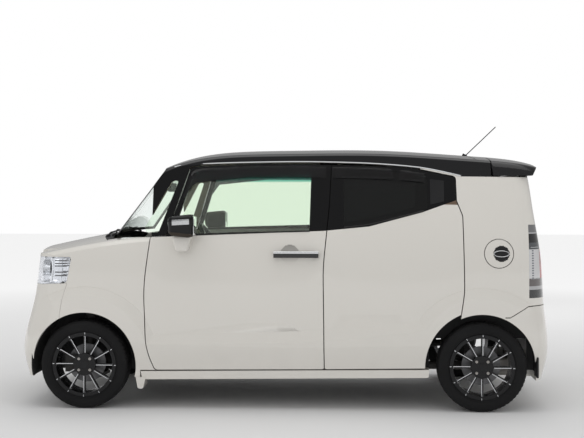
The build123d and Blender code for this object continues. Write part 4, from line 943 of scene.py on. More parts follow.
# ---- Cabin ----------------------------------------------------------------------------------------
@dataclass(frozen=True)
class SeatCloth(Cloth):
    """Brown woven cloth with darker side bolsters, told apart by the distance from each seat's middle."""

    middles: tuple[float, ...] = (0.30,)
    insert: float = 0.155
    bolster: Colour = (0.060, 0.043, 0.034, 1.0)

    def dress(self, tree: bpy.types.NodeTree, shader: bpy.types.Node, place: bpy.types.NodeSocket) -> None:
        """The weave, mixed with the bolster colour past the insert's edge."""
        shader.inputs["Sheen Weight"].default_value = 0.3
        weave = self.use(tree, Weave(), place, Base=self.colour, Yarn=self.yarn, Pitch=self.pitch)
        axes = split_axes(tree, place)
        out = maths(tree, "ABSOLUTE", axes.outputs["Y"])
        share = None
        for middle in self.middles:
            near = maths(tree, "ABSOLUTE", maths(tree, "SUBTRACT", out, middle))
            step = ramp(tree, near, self.insert - 0.0012, self.insert + 0.0012)
            share = step if share is None else maths(tree, "MINIMUM", share, step)
        link_in(tree, blend(tree, share, weave.outputs["Colour"], self.bolster), shader.inputs["Base Color"])
        self.bump(tree, shader, weave.outputs["Height"], 0.0006, 0.5)


@dataclass
class Pad:
    """One padded part of a seat: a shaped block, swollen by cloth simulation and sewn with channels."""

    name: str
    low: Point
    high: Point
    lean: float = 0.0
    pivot: Point = (0.0, 0.0, 0.0)
    corner: float = 0.05
    seams_y: tuple[float, ...] = ()
    seams_up: tuple[float, ...] = ()
    bolster_rise: float = 0.0
    voxel: float = 0.011
    cap: float = 0.010
    seam_depth: float = 0.006
    finish: Finish = Finishes.SEAT_CLOTH
    fill: float = 0.7

    def build(self) -> Blank:
        """Returns the padded mesh in its place."""
        blank = Blank.block(self.low, self.high)
        blank.modify("BEVEL", width=self.corner, segments=4, limit_method="NONE")
        blank.modify("REMESH", mode="VOXEL", voxel_size=self.voxel, use_smooth_shade=True)
        if self.bolster_rise:
            self.raise_bolsters(blank.obj.data)
        self.swell(blank)
        self.sew(blank.obj.data)
        blank.modify("SMOOTH", factor=0.35, iterations=2)
        if self.lean:
            blank.turn(-self.lean, (0, 1, 0), self.pivot)
        return blank.smooth(60)

    def middle(self, axis: int) -> float:
        """The pad's middle on an axis."""
        return (self.low[axis] + self.high[axis]) / 2

    def is_back(self) -> bool:
        """True for an upright pad."""
        return self.high[2] - self.low[2] > self.high[0] - self.low[0]

    def raise_bolsters(self, mesh: bpy.types.Mesh) -> None:
        """Lifts the sides of the pad's working face and hollows its middle."""
        half = (self.high[1] - self.low[1]) / 2
        axis, face = (0, self.high[0]) if self.is_back() else (2, self.high[2])
        base = self.low[axis]
        for vertex in mesh.vertices:
            share = abs(vertex.co.y - self.middle(1)) / half
            height = max(0.0, (vertex.co[axis] - base) / (face - base))
            drop = self.bolster_rise * (1.0 - min(1.0, share / 0.72) ** 2)
            vertex.co[axis] -= drop * height

    def swell(self, blank: Blank) -> None:
        """Inflates the pad with cloth and holds each point within its cap."""
        alone(blank.obj)
        rest = [v.co.copy() for v in blank.obj.data.vertices]
        cloth = blank.obj.modifiers.new("swell", "CLOTH")
        cloth.settings.use_pressure = True
        cloth.settings.uniform_pressure_force = 4.0
        cloth.settings.effector_weights.gravity = 0.0
        cloth.settings.quality = 4
        cloth.settings.mass = 0.3
        cloth.point_cache.frame_start = 1
        cloth.point_cache.frame_end = 14
        scene = bpy.context.scene
        for frame in range(1, 15):
            scene.frame_set(frame)
        bpy.ops.object.modifier_apply(modifier=cloth.name)
        scene.frame_set(1)
        for vertex, start in zip(blank.obj.data.vertices, rest):
            move = vertex.co - start
            if move.length > self.cap:
                vertex.co = start + move.normalized() * self.cap

    def sew(self, mesh: bpy.types.Mesh) -> None:
        """Presses the seams into the pad's skin, along lines across it and up it."""
        centre = Vector([self.middle(i) for i in range(3)])
        up = 2 if self.is_back() else 0
        pressed = []
        for vertex in mesh.vertices:
            depth = 0.0
            for seam in self.seams_y:
                depth = max(depth, math.exp(-(((vertex.co.y - centre.y - seam) / 0.006) ** 2)))
            if abs(vertex.co.y - centre.y) < max([abs(s) for s in self.seams_y], default=9.0):
                for seam in self.seams_up:
                    depth = max(depth, 0.8 * math.exp(-(((vertex.co[up] - seam) / 0.006) ** 2)))
            pressed.append(vertex.co - vertex.normal * depth * self.seam_depth)
        for vertex, place in zip(mesh.vertices, pressed):
            vertex.co = place


@dataclass
class Seats:
    """The two front seats and the rear bench, padded, over the plain solids of the frame."""

    middle_y: float = 0.300
    half: float = 0.236
    cushion_x: tuple[float, float] = (-0.105, 0.392)
    cushion_z: tuple[float, float] = (0.500, 0.632)
    back_pivot: Point = (-0.130, 0.0, 0.580)
    back_height: float = 0.535
    back_lean: float = 14.0
    bench_x: tuple[float, float] = (-0.875, -0.378)
    bench_z: tuple[float, float] = (0.468, 0.602)
    bench_half: float = 0.520
    bench_pivot: Point = (-0.885, 0.0, 0.550)
    bench_lean: float = 12.0

    def build(self) -> None:
        """Builds every pad and the hard bases."""
        front = self.front_pads()
        first = "front_seats"
        cloth = SeatCloth("front_seat_cloth", Finishes.SEAT_CLOTH.colour, 0.9, yarn=Finishes.SEAT_CLOTH.yarn,
                          middles=(self.middle_y,), insert=0.150)
        for name, pad in front.items():
            left = pad.build()
            right = left.twin(MIRROR_Y)
            for side, blank in ((Side.LEFT, left), (Side.RIGHT, right)):
                piece = blank.finish(f"{name}_{side.word}", cloth, "root", "fabric", [first])
        bench_cloth = SeatCloth("rear_seat_cloth", Finishes.SEAT_CLOTH.colour, 0.9, yarn=Finishes.SEAT_CLOTH.yarn,
                                middles=(0.26,), insert=0.185)
        for name, pad in self.rear_pads().items():
            piece = pad.build().finish(name, bench_cloth, "root", "fabric", ["rear_seat"])
        rest = self.head_pad("rear_head_pad", 0.29, self.bench_pivot, 0.570, self.bench_lean).build()
        for side, blank in ((Side.RIGHT, rest.twin(MIRROR_Y)), (Side.LEFT, rest)):
            piece = blank.finish(f"rear_head_pad_{side.word}", bench_cloth, "root", "fabric", ["rear_seat"])
        self.bases()

    def front_pads(self) -> dict[str, Pad]:
        """The front seat's pads, on the left."""
        y, half = self.middle_y, self.half
        pivot = (self.back_pivot[0], y, self.back_pivot[2])
        back_low = (pivot[0] - 0.048, y - half, pivot[2])
        back_high = (pivot[0] + 0.048, y + half, pivot[2] + self.back_height)
        return {
            "front_cushion": Pad("front_cushion", (self.cushion_x[0], y - half, self.cushion_z[0]),
                                 (self.cushion_x[1], y + half, self.cushion_z[1]), seams_y=(-0.150, 0.150),
                                 seams_up=(0.06, 0.20), bolster_rise=0.022),
            "front_back": Pad("front_back", back_low, back_high, self.back_lean, pivot, seams_y=(-0.150, 0.150),
                              seams_up=(pivot[2] + 0.20, pivot[2] + 0.36), bolster_rise=0.018, corner=0.04),
            "front_head_pad": self.head_pad("front_head_pad", y, pivot, 0.560, self.back_lean),
        }

    def head_pad(self, name: str, y: float, pivot: Point, rise: float, lean: float) -> Pad:
        """A head restraint's pad above a back."""
        low = (pivot[0] - 0.036, y - 0.120, pivot[2] + rise)
        high = (pivot[0] + 0.036, y + 0.120, pivot[2] + rise + 0.125)
        return Pad(name, low, high, lean, (pivot[0], y, pivot[2]), corner=0.03, cap=0.006, seam_depth=0.003, fill=0.8)

    def rear_pads(self) -> dict[str, Pad]:
        """The bench's cushion and back."""
        pivot, half = self.bench_pivot, self.bench_half
        return {
            "rear_cushion": Pad("rear_cushion", (self.bench_x[0], -half, self.bench_z[0]),
                                (self.bench_x[1], half, self.bench_z[1]), seams_y=(-0.445, -0.075, 0.0, 0.075, 0.445),
                                seams_up=(-0.55,), voxel=0.013),
            "rear_back": Pad("rear_back", (pivot[0] - 0.048, -half, pivot[2]),
                             (pivot[0] + 0.048, half, pivot[2] + 0.545),
                             self.bench_lean, pivot, seams_y=(-0.445, -0.075, 0.0, 0.075, 0.445),
                             seams_up=(pivot[2] + 0.30,), voxel=0.013, corner=0.04),
        }

    def bases(self) -> None:
        """The seats' rails and plastic side covers, and the posts of the head restraints."""
        left = Blank.block((-0.085, self.middle_y - 0.20, 0.262), (0.29, self.middle_y + 0.20, 0.500))
        left.inset(0.03, -0.02, lambda c, n: abs(n.y) > 0.9)
        left.round_edges(0.02, 3).smooth()
        for side, blank in ((Side.RIGHT, left.twin(MIRROR_Y)), (Side.LEFT, left)):
            blank.finish(f"seat_base_{side.word}", Finishes.DASH, "root", "interior", ["front_seats"])
        stand = Blank.block((-0.80, -0.47, 0.336), (-0.48, 0.47, 0.470)).round_edges(0.02, 3).smooth()
        stand.finish("bench_base", Finishes.CARPET, "root", "fabric", ["rear_seat"])
        posts = []
        rows = ((self.middle_y, self.back_pivot, 0.50, self.back_lean, (Side.LEFT, Side.RIGHT)),
                (0.29, self.bench_pivot, 0.50, self.bench_lean, (Side.LEFT, Side.RIGHT)))
        for y, pivot, rise, lean, sides in rows:
            for side in sides:
                for gap in (-0.055, 0.055):
                    at = (pivot[0], side.value * y + gap, pivot[2] + rise + 0.04)
                    post = Blank.drum(at, 0.006, 0.10, "Z", 16)
                    posts.append(post.turn(-lean, (0, 1, 0), (pivot[0], at[1], pivot[2])))
        posts[0].join(posts[1:]).smooth().finish("head_pad_posts", Finishes.CHROME, "root", "chrome",
                                                 ["front_seats", "rear_seat"])


@dataclass
class Dashboard:
    """What stands on the dashboard block: hood, screen, vents, tan band, glove box and the wheel's boss."""

    driver_y: float = -0.300
    face: Callable[[float], float] = field(default=lambda z: 0.640)
    band_z: tuple[float, float] = (0.885, 0.925)

    def build(self, skin: Skin) -> None:
        """Builds each piece on the block's rear face.

        Args:
            skin: the dashboard node's surface.
        """
        self.hood(skin).finish("instrument_hood", Finishes.DASH, "root", "interior")
        self.screen(skin).finish("centre_screen", Finishes.SCREEN, "root", "interior")
        self.band(skin).finish("dash_band", Finishes.DASH_TAN, "root", "interior")
        self.vents(skin).finish("dash_vents", Finishes.SATIN_BLACK, "root", "interior")
        self.glove_box(skin).finish("glove_box", Finishes.DASH, "root", "interior")
        self.console().finish("centre_console", Finishes.DASH, "root", "interior")
        self.lever().finish("gear_lever", Finishes.LEATHER, "root", "interior")
        self.boss().finish("wheel_boss", Finishes.DASH, "root", "interior")
        self.mirror().finish("inside_mirror", Finishes.SATIN_BLACK, "root", "black_trim")

    def rear_of(self, skin: Skin, y: float, z: float, lift: float = 0.0) -> Point:
        """A point on the block's face towards the seats."""
        hit, _, _, _ = skin.tree.ray_cast(Vector((-0.5, y, z)), Vector((1, 0, 0)))
        return ((hit.x if hit else 0.66) - lift, y, z)

    def hood(self, skin: Skin) -> Blank:
        """The hood over the instruments, in front of the driver."""
        y = self.driver_y
        hood = Blank.block((0.665, y - 0.155, 1.030), (0.83, y + 0.155, 1.075))
        hood.raise_faces((0.03, 0, 0.0), lambda c, n: n.z > 0.9, 0.86)
        hood.modify("BEVEL", width=0.016, segments=4, limit_method="NONE")
        return hood.smooth()

    def screen(self, skin: Skin) -> Blank:
        """The screen in the middle of the dashboard."""
        x = self.rear_of(skin, 0.0, 0.97)[0]
        screen = Blank.block((x - 0.014, -0.105, 0.925), (x + 0.02, 0.105, 1.040))
        screen.inset(0.006, -0.002, lambda c, n: n.x < -0.9)
        return screen.round_edges(0.003, 3).smooth()

    def band(self, skin: Skin) -> Blank:
        """The tan band across the dashboard."""
        def place(u: float, v: float) -> Point:
            """A point of the band."""
            z = self.band_z[0] + v * (self.band_z[1] - self.band_z[0])
            return self.rear_of(skin, -0.57 + u * 1.14, z, 0.004)
        band = Blank.sheet(36, 3, place)
        return band.modify("SOLIDIFY", thickness=0.006, offset=0.0).round_edges(0.0015, 2).outward().smooth()

    def vents(self, skin: Skin) -> Blank:
        """Four air vents with slats."""
        parts = []
        for y in (-0.50, -0.155, 0.155, 0.50):
            x = self.rear_of(skin, y, 0.97)[0]
            frame = Blank.block((x - 0.010, y - 0.048, 0.935), (x + 0.03, y + 0.048, 1.005))
            frame.inset(0.008, -0.008, lambda c, n: n.x < -0.9).round_edges(0.003, 2)
            parts.append(frame)
            for row in range(4):
                z = 0.950 + row * 0.0135
                slat = Blank.block((x - 0.006, y - 0.040, z - 0.0015), (x + 0.006, y + 0.040, z + 0.0015))
                parts.append(slat.turn(20, (0, 1, 0), (x, y, z)))
        return parts[0].join(parts[1:]).smooth()

    def glove_box(self, skin: Skin) -> Blank:
        """The glove box lid in front of the passenger."""
        def place(u: float, v: float) -> Point:
            """A point of the lid."""
            return self.rear_of(skin, 0.10 + u * 0.42, 0.74 + v * 0.12, 0.003)
        lid = Blank.sheet(16, 8, place)
        return lid.modify("SOLIDIFY", thickness=0.008, offset=0.0).round_edges(0.002, 2).outward().smooth()

    def console(self) -> Blank:
        """The small console between the footwells, below the dashboard."""
        console = Blank.block((0.44, -0.052, 0.262), (0.74, 0.052, 0.42))
        console.raise_faces((0.02, 0, 0.10), lambda c, n: n.z > 0.9, 0.72)
        return console.round_edges(0.015, 3).smooth()

    def lever(self) -> Blank:
        """The gear lever on the dashboard's foot."""
        return tube([(0.60, -0.02, 0.47), (0.585, -0.02, 0.56), (0.575, -0.02, 0.63)], 0.007).join(
            [Blank.hoop((0.573, -0.02, 0.645), 0.006, 0.016, "Z", 24)])

    def boss(self) -> Blank:
        """The padded boss of the steering wheel."""
        boss = Blank.drum((0.0, 0.0, 0.0), 0.072, 0.03, "Z", 40)
        boss.inset(0.02, 0.006, lambda c, n: n.z > 0.9)
        boss.modify("BEVEL", width=0.006, segments=3, limit_method="ANGLE")
        turn = Vector((-0.86, 0, 0.51)).to_track_quat("Z", "Y").to_matrix().to_4x4()
        boss.obj.data.transform(
            Matrix.Translation((0.560, self.driver_y, 0.985)) @ turn @ Matrix.Translation((0, 0, 0.002)))
        return boss.smooth()

    def mirror(self) -> Blank:
        """The inside mirror below the windscreen's head."""
        mirror = Blank.block((0.800, -0.115, 1.385), (0.826, 0.115, 1.445))
        mirror.inset(0.006, -0.002, lambda c, n: n.x < -0.9)
        mirror.round_edges(0.01, 4)
        stem = tube([(0.820, 0.0, 1.430), (0.845, 0.0, 1.465), (0.862, 0.0, 1.475)], 0.008)
        return mirror.join([stem]).smooth()


@dataclass
class FloorMats:
    """Four carpet mats on the cabin floor."""

    floor_z: float = 0.2625
    thickness: float = 0.009

    def build(self) -> None:
        """One mat to each footwell."""
        rooms = {"front_left": (0.42, 0.84, 0.09, 0.53), "rear_left": (-0.33, -0.10, 0.12, 0.52)}
        for name, (x1, x2, y1, y2) in rooms.items():
            mat = Blank.block((x1, y1, self.floor_z), (x2, y2, self.floor_z + self.thickness))
            mat.edit(lambda: bpy.ops.mesh.subdivide(number_cuts=6), lambda c, n: n.z > 0.9)
            mat.round_edges(0.004, 2).smooth()
            mat.twin(MIRROR_Y).finish(f"mat_{name.replace('left', 'right')}", Finishes.CARPET, "root", "fabric")
            mat.finish(f"mat_{name}", Finishes.CARPET, "root", "fabric")


# ---- Lamps ----------------------------------------------------------------------------------------
@dataclass
class Headlamps:
    """The headlamps: a clear lens over a bright housing, with a projector, dark slats and a bezel."""

    nodes: dict[str, bpy.types.Object]
    lens_wall: float = 0.0025
    slat_heights: tuple[float, ...] = (0.846, 0.868, 0.907, 0.924, 0.941)
    slat_x: tuple[float, float] = (1.374, 1.452)
    projector: Point = (1.545, 0.520, 0.885)

    def build(self) -> None:
        """Splits the lamp node's copy into lens and housing, then adds what is inside."""
        source = self.nodes["headlamps"]
        lens = Blank.copy_of(source)
        lens.keep(lambda c, n: self.looks_out(c, n))
        lens.modify("SOLIDIFY", thickness=self.lens_wall, offset=-1.0)
        lens.outward().smooth(40).finish("headlamp_lenses", Finishes.LENS, "root", "lamp_glass", ["headlamps"])
        shell = Blank.copy_of(source)
        shell.keep(lambda c, n: not self.looks_out(c, n))
        shell.modify("SOLIDIFY", thickness=0.002, offset=-1.0)
        shell.outward().smooth(40).finish("headlamp_housings", Finishes.REFLECTOR, "root", "chrome", ["headlamps"])
        for side in Side:
            self.slats(side)
            self.bowls(side)
            self.bezel(side)

    def looks_out(self, centre: Vector, normal: Vector) -> bool:
        """Whether a face of the lamp belongs to its outer skin."""
        out = math.copysign(1.0, centre.y)
        return (normal.x + normal.y * out) * math.sqrt(0.5) > 0.3 and abs(normal.z) < 0.8

    def slats(self, side: Side) -> None:
        """The dark slats across the lamp's rear half."""
        skin = Skin(self.nodes, ["headlamps"])
        strips = []
        for z in self.slat_heights:
            def place(u: float, v: float) -> Point:
                """A point of one slat."""
                x = self.slat_x[0] + (self.slat_x[1] - self.slat_x[0]) * u
                return skin.from_side(x, z + (v - 0.5) * 0.007, -0.012, side, 0.69)
            strip = Blank.sheet(10, 2, place)
            strip.modify("SOLIDIFY", thickness=0.003, offset=0.0)
            strips.append(strip.outward())
        strips[0].join(strips[1:]).smooth().finish(f"headlamp_slats_{side.word}", Finishes.LAMP_BLACK, "root",
                                                   "black_trim")

    def bowls(self, side: Side) -> None:
        """The projector's ring and its domed lens."""
        x, y, z = self.projector
        y *= side.value
        ring = Blank.drum((x, y, z), 0.052, 0.050, "X", 48)
        ring.inset(0.008, -0.030, lambda c, n: n.x > 0.9)
        ring.round_edges(0.0015, 2).smooth().finish(f"projector_ring_{side.word}", Finishes.SATIN_CHROME, "root",
                                                    "chrome")
        alone_none()
        bpy.ops.mesh.primitive_uv_sphere_add(segments=40, ring_count=24, radius=0.036, location=(x + 0.004, y, z))
        ball = Blank(bpy.context.object)
        ball.keep(lambda c, n: c.x > x + 0.002)
        ball.modify("SOLIDIFY", thickness=0.002, offset=-1.0)
        ball.outward().smooth().finish(f"projector_lens_{side.word}", Finishes.LENS, "root", "lamp_glass")

    def bezel(self, side: Side) -> None:
        """The bright upright post between the lamp's front bowl and its slats."""
        skin = Skin(self.nodes, ["headlamps"])
        run = [skin.from_side(1.468 + 0.004 * math.cos(i), 0.815 + i * 0.0235, -0.010, side, 0.68) for i in range(7)]
        tube(run, 0.006).finish(f"headlamp_post_{side.word}", Finishes.CHROME, "root", "chrome")


# ---- Bodywork -------------------------------------------------------------------------------------
@dataclass(frozen=True)
class DishFinish(Finish):
    """Body paint with painted shade: it darkens towards the top of the dish, under the pull bar."""

    low_z: float = 0.930
    high_z: float = 1.045

    def dress(self, tree: bpy.types.NodeTree, shader: bpy.types.Node, place: bpy.types.NodeSocket) -> None:
        """The painted shade by height."""
        rise = ramp(tree, split_axes(tree, place).outputs["Z"], self.low_z, self.high_z)
        shade = tuple(v * 0.42 for v in self.colour[:3]) + (1.0,)
        link_in(tree, blend(tree, rise, self.colour, shade), shader.inputs["Base Color"])


@dataclass(frozen=True)
class HandleFinish(Finish):
    """A black pull bar with a chrome upper half."""

    split_z: float = 0.9935

    def dress(self, tree: bpy.types.NodeTree, shader: bpy.types.Node, place: bpy.types.NodeSocket) -> None:
        """Chrome by height."""
        high = ramp(tree, split_axes(tree, place).outputs["Z"], self.split_z - 0.0004, self.split_z + 0.0004)
        link_in(tree, blend(tree, high, self.colour, Finishes.CHROME.colour), shader.inputs["Base Color"])
        link_in(tree, high, shader.inputs["Metallic"])
        link_in(tree, ramp(tree, high, 0.0, 1.0, self.roughness, 0.1), shader.inputs["Roughness"])


@dataclass(frozen=True)
class LampFinish(Paint):
    """The tail lamps' finish: a clear lens over a bright LED band, with black bands above and below."""

    edges: tuple[float, ...] = (0.768, 0.790, 0.838, 1.020, 1.062, 1.118, 1.126)
    shades: tuple[Colour, ...] = ((0.012, 0.012, 0.013, 1.0), (0.40, 0.40, 0.41, 1.0), (0.10, 0.085, 0.085, 1.0),
                                  (0.62, 0.62, 0.63, 1.0), (0.075, 0.08, 0.088, 1.0), (0.012, 0.012, 0.013, 1.0),
                                  (0.45, 0.45, 0.46, 1.0), (0.16, 0.16, 0.165, 1.0))
    led_pitch: float = 0.0155
    led_x: tuple[float, float] = (-1.5835, -1.5715)

    def dress(self, tree: bpy.types.NodeTree, shader: bpy.types.Node, place: bpy.types.NodeSocket) -> None:
        """Bands by height, with a column of dark LED cells in the bright one."""
        axes = split_axes(tree, place)
        z = axes.outputs["Z"]
        shade = self.shades[0]
        for edge, above in zip(self.edges, self.shades[1:]):
            shade = blend(tree, ramp(tree, z, edge - 0.001, edge + 0.001), shade, above)
        wave = maths(tree, "SINE", maths(tree, "MULTIPLY", z, 2 * math.pi / self.led_pitch))
        cells = ramp(tree, wave, -0.25, 0.0)
        column = maths(tree, "MULTIPLY", ramp(tree, axes.outputs["X"], self.led_x[0] - 0.0005, self.led_x[0] + 0.0005),
                       ramp(tree, axes.outputs["X"], self.led_x[1] + 0.0005, self.led_x[1] - 0.0005))
        band = maths(tree, "MULTIPLY", ramp(tree, z, self.edges[2] - 0.001, self.edges[2] + 0.001),
                     ramp(tree, z, self.edges[3] + 0.001, self.edges[3] - 0.001))
        dark = maths(tree, "MULTIPLY", maths(tree, "MULTIPLY", cells, column), band)
        rear = ramp(tree, axes.outputs["X"], self.led_x[0] - 0.044, self.led_x[0] - 0.046)
        ribs = maths(tree, "SINE", maths(tree, "MULTIPLY", z, 2 * math.pi / 0.008))
        red = blend(tree, ramp(tree, ribs, -0.4, 0.4), (0.30, 0.006, 0.010, 1.0), (0.44, 0.012, 0.018, 1.0))
        shade = blend(tree, maths(tree, "MULTIPLY", dark, 0.85), shade, (0.06, 0.07, 0.10, 1.0))
        link_in(tree, blend(tree, maths(tree, "MULTIPLY", rear, band), shade, red), shader.inputs["Base Color"])
        self.bump(tree, shader, ramp(tree, ribs, -1.0, 1.0), 0.0004, 0.2)


@dataclass(frozen=True)
class GlassFinish(Pane):
    """Windscreen glass with its black printed border."""

    low_z: float = 1.125
    high_z: float = 1.512
    half_y: float = 0.585

    def dress(self, tree: bpy.types.NodeTree, shader: bpy.types.Node, place: bpy.types.NodeSocket) -> None:
        """The border by distance from the pane's middle, dotted at its inner edge."""
        shader.inputs["IOR"].default_value = 1.45
        axes = split_axes(tree, place)
        z = axes.outputs["Z"]
        out = maths(tree, "ADD", maths(tree, "ABSOLUTE", axes.outputs["Y"]), maths(tree, "MULTIPLY", z, 0.19))
        side = ramp(tree, out, self.half_y + 0.216, self.half_y + 0.220)
        edge = maths(tree, "MAXIMUM", side, ramp(tree, z, self.low_z + 0.002, self.low_z - 0.002))
        edge = maths(tree, "MAXIMUM", edge, ramp(tree, z, self.high_z - 0.002, self.high_z + 0.002))
        link_in(tree, blend(tree, edge, self.colour, (0.008, 0.008, 0.008, 1.0)), shader.inputs["Base Color"])
        link_in(tree, maths(tree, "SUBTRACT", 1.0, edge), shader.inputs["Transmission Weight"])


@dataclass
class Bodywork:
    """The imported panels' finishes and the trim laid on them."""

    nodes: dict[str, bpy.types.Object]
    drip_line: tuple[tuple[float, float], ...] = (
        (0.700, 1.536), (0.684, 1.549), (0.428, 1.563), (0.150, 1.569), (-0.112, 1.572),
        (-0.350, 1.568), (-0.557, 1.561), (-0.780, 1.545), (-0.955, 1.524), (-1.137, 1.479))

    def dress_nodes(self) -> None:
        """Gives every shown CAD node its finish."""
        pearl = ["fenders", "quarter_panel_left", "quarter_panel_right", "bonnet", "front_bumper", "rear_bumper",
                 "tailgate", "fuel_lid", "sills"]
        table: dict[Finish, list[str]] = {
            Finishes.PEARL: pearl,
            Finishes.PEARL_DOOR: [f"{end}_door_{side.word}" for end in ("front", "rear") for side in Side],
            Finishes.PILLAR: ["a_pillars"],
            Finishes.GLOSS_BLACK: ["b_pillars"] + [f"{end}_window_frame_{side.word}" for end in ("front", "rear")
                                                                for side in Side],
            Finishes.GREEN_GLASS: ["front_door_glass_left", "front_door_glass_right", "quarter_windows"],
            Finishes.PRIVACY_GLASS: ["rear_door_glass_left", "rear_door_glass_right", "tailgate_glass"],
            Finishes.SATIN_BLACK: ["cowl", "grilles", "wipers", "antenna"],
            Finishes.IRON: ["front_panel", "front_suspension", "rear_axle", "knuckle_left", "knuckle_right"],
            Finishes.CASTING: ["engine"],
            Finishes.SEALER: ["floor_pan", "fuel_tank"],
            Finishes.STEEL: ["exhaust"],
            Finishes.DASH: ["dashboard"],
            Finishes.LEATHER: ["steering_wheel"],
        }
        for finish, names in table.items():
            for name in names:
                dress(self.nodes[name], finish)
        dress(self.nodes["roof"], Lined("roof_and_lining", Finishes.BLACK_PAINT.colour, 0.12, 0.0, 0.35, 0.4,
                                        cloth=(0.42, 0.39, 0.35, 1.0)))
        dress(self.nodes["spoiler"], Finishes.BLACK_PAINT)
        dress(self.nodes["windscreen"], GlassFinish("windscreen_with_border", Finishes.CLEAR_GLASS.colour, 0.0))
        dress(self.nodes["tail_lamps"], LampFinish("tail_lamp_lens", (0.4, 0.4, 0.4, 1.0), 0.12, 0.0, 1.0))
        dress(self.nodes["headlamps"], Finishes.LENS)
        for side in Side:
            dress(self.nodes[f"door_handle_{side.word}"],
                  HandleFinish("handle_bar", Finishes.GLOSS_BLACK.colour, 0.2, 0.0, 0.6))

    def build(self) -> None:
        """Adds the trim on both sides, then the nose's and the tail's."""
        for side in Side:
            self.drip_moulding(side)
            self.visors(side)
            self.handle_surrounds(side)
            self.rear_handle(side)
            self.door_mirror(side)
            self.belt_moulding(side)
            self.tail_lamp_trim(side)
            self.mud_flap(side)
        self.fuel_grip()
        self.plates()
        self.grille_bar()
        self.wipers()
        self.rear_wiper()
        self.gutter_band()

    def skin_of(self, *names: str) -> Skin:
        """The joined surface of some nodes."""
        return Skin(self.nodes, names)

    def drip_moulding(self, side: Side) -> None:
        """The bright strip along the roof's lower edge."""
        skin = self.skin_of("roof", "a_pillars", f"quarter_panel_{side.word}")
        points = [skin.from_side(x, z + 0.004, 0.001, side, 0.585) for x, z in self.drip_line]
        tube(points, 0.0042).finish(f"drip_moulding_{side.word}", Finishes.CHROME, "root", "chrome")

    def visors(self, side: Side) -> None:
        """The smoked wind deflectors over the door windows."""
        rows = {
            "front": (((0.584, 1.510), (0.546, 1.530), (0.20, 1.545), (-0.10, 1.545), (-0.281, 1.540)),
                      ((0.640, 1.330), (0.560, 1.440), (0.20, 1.478), (-0.10, 1.476), (-0.281, 1.470))),
            "rear": (((-0.318, 1.540), (-0.55, 1.535), (-0.75, 1.522), (-0.905, 1.497)),
                     ((-0.318, 1.470), (-0.55, 1.466), (-0.75, 1.456), (-0.905, 1.440))),
        }
        for end, (upper, lower) in rows.items():
            frame = self.skin_of(f"{end}_window_frame_{side.word}")
            glass = self.skin_of(f"{end}_door_glass_{side.word}")
            x_far, x_near = (-0.17, 0.57) if end == "front" else (-0.90, -0.41)
            glass_z = 1.40
            def lay(x: float, z: float) -> Point:
                """A point of the visor, between the glass and the frame's top."""
                spot = min(max(x, x_far), x_near)
                low = abs(glass.from_side(spot, glass_z, 0.0, side, 0.60)[1]) + 0.003
                top_z = 1.508 if end == "rear" and x < -0.7 else 1.534
                high = abs(frame.from_side(spot, top_z, 0.0, side, 0.58)[1])
                lean = (low - high) / (top_z - glass_z)
                out = low + (glass_z - z) * lean + 0.004 + max(1.535 - z, 0.0) * 0.05
                return (x, side.value * out, z)
            visor = ribbon(list(upper), list(lower), lay, 28, 4)
            visor.modify("SOLIDIFY", thickness=0.0022, offset=0.0)
            visor.outward().round_edges(0.0007, 2).smooth()
            visor.finish(f"visor_{end}_{side.word}", Finishes.SMOKE, f"{end}_door_{side.word}", "dark_glass")

    def handle_surrounds(self, side: Side) -> None:
        """The round dish behind the front handle and its black grip."""
        skin = self.skin_of(f"front_door_{side.word}")
        x, z, r = -0.053, 0.987, 0.060
        def place(u: float, v: float) -> Point:
            """A point of the dish."""
            px, pz = x + (u - 0.5) * 2 * r, z + (v - 0.5) * 2 * r
            return skin.from_side(px, pz, 0.0006, side, 0.71)
        dish = Blank.sheet(24, 24, place)
        centre = Vector(skin.from_side(x, z, 0.0, side, 0.71))
        dish.keep(lambda c, n: math.hypot(c.x - x, c.z - z) < r)
        dish.modify("SOLIDIFY", thickness=0.001, offset=0.0)
        # The dish is a flat sheet; its darkening towards the top is painted shade under the pull bar.
        dish.outward().smooth().finish(f"handle_dish_{side.word}",
                                       DishFinish("handle_dish", Finishes.PEARL.colour, 0.3, 0.0, 0.6),
                                      f"front_door_{side.word}", "paint")
        log.info("dish centre %s", centre)

    def rear_handle(self, side: Side) -> None:
        """The upright handle hidden in the rear door's black corner."""
        skin = self.skin_of(f"rear_window_frame_{side.word}", f"rear_door_{side.word}")
        upper = [(-0.940, 1.462), (-1.028, 1.452)]
        lower = [(-0.940, 1.300), (-1.028, 1.320)]
        def lay(x: float, z: float) -> Point:
            """A point of the grip panel."""
            return skin.from_side(x, z, 0.002, side, 0.60)
        cup = ribbon(upper, lower, lay, 6, 8)
        cup.modify("SOLIDIFY", thickness=0.003, offset=0.0)
        cup.inset(0.008, -0.0012, lambda c, n: n.y * side.value > 0.5)
        cup.outward().round_edges(0.0008, 2).smooth()
        cup.finish(f"hidden_handle_{side.word}", Finishes.SATIN_BLACK, f"rear_door_{side.word}", "black_trim")

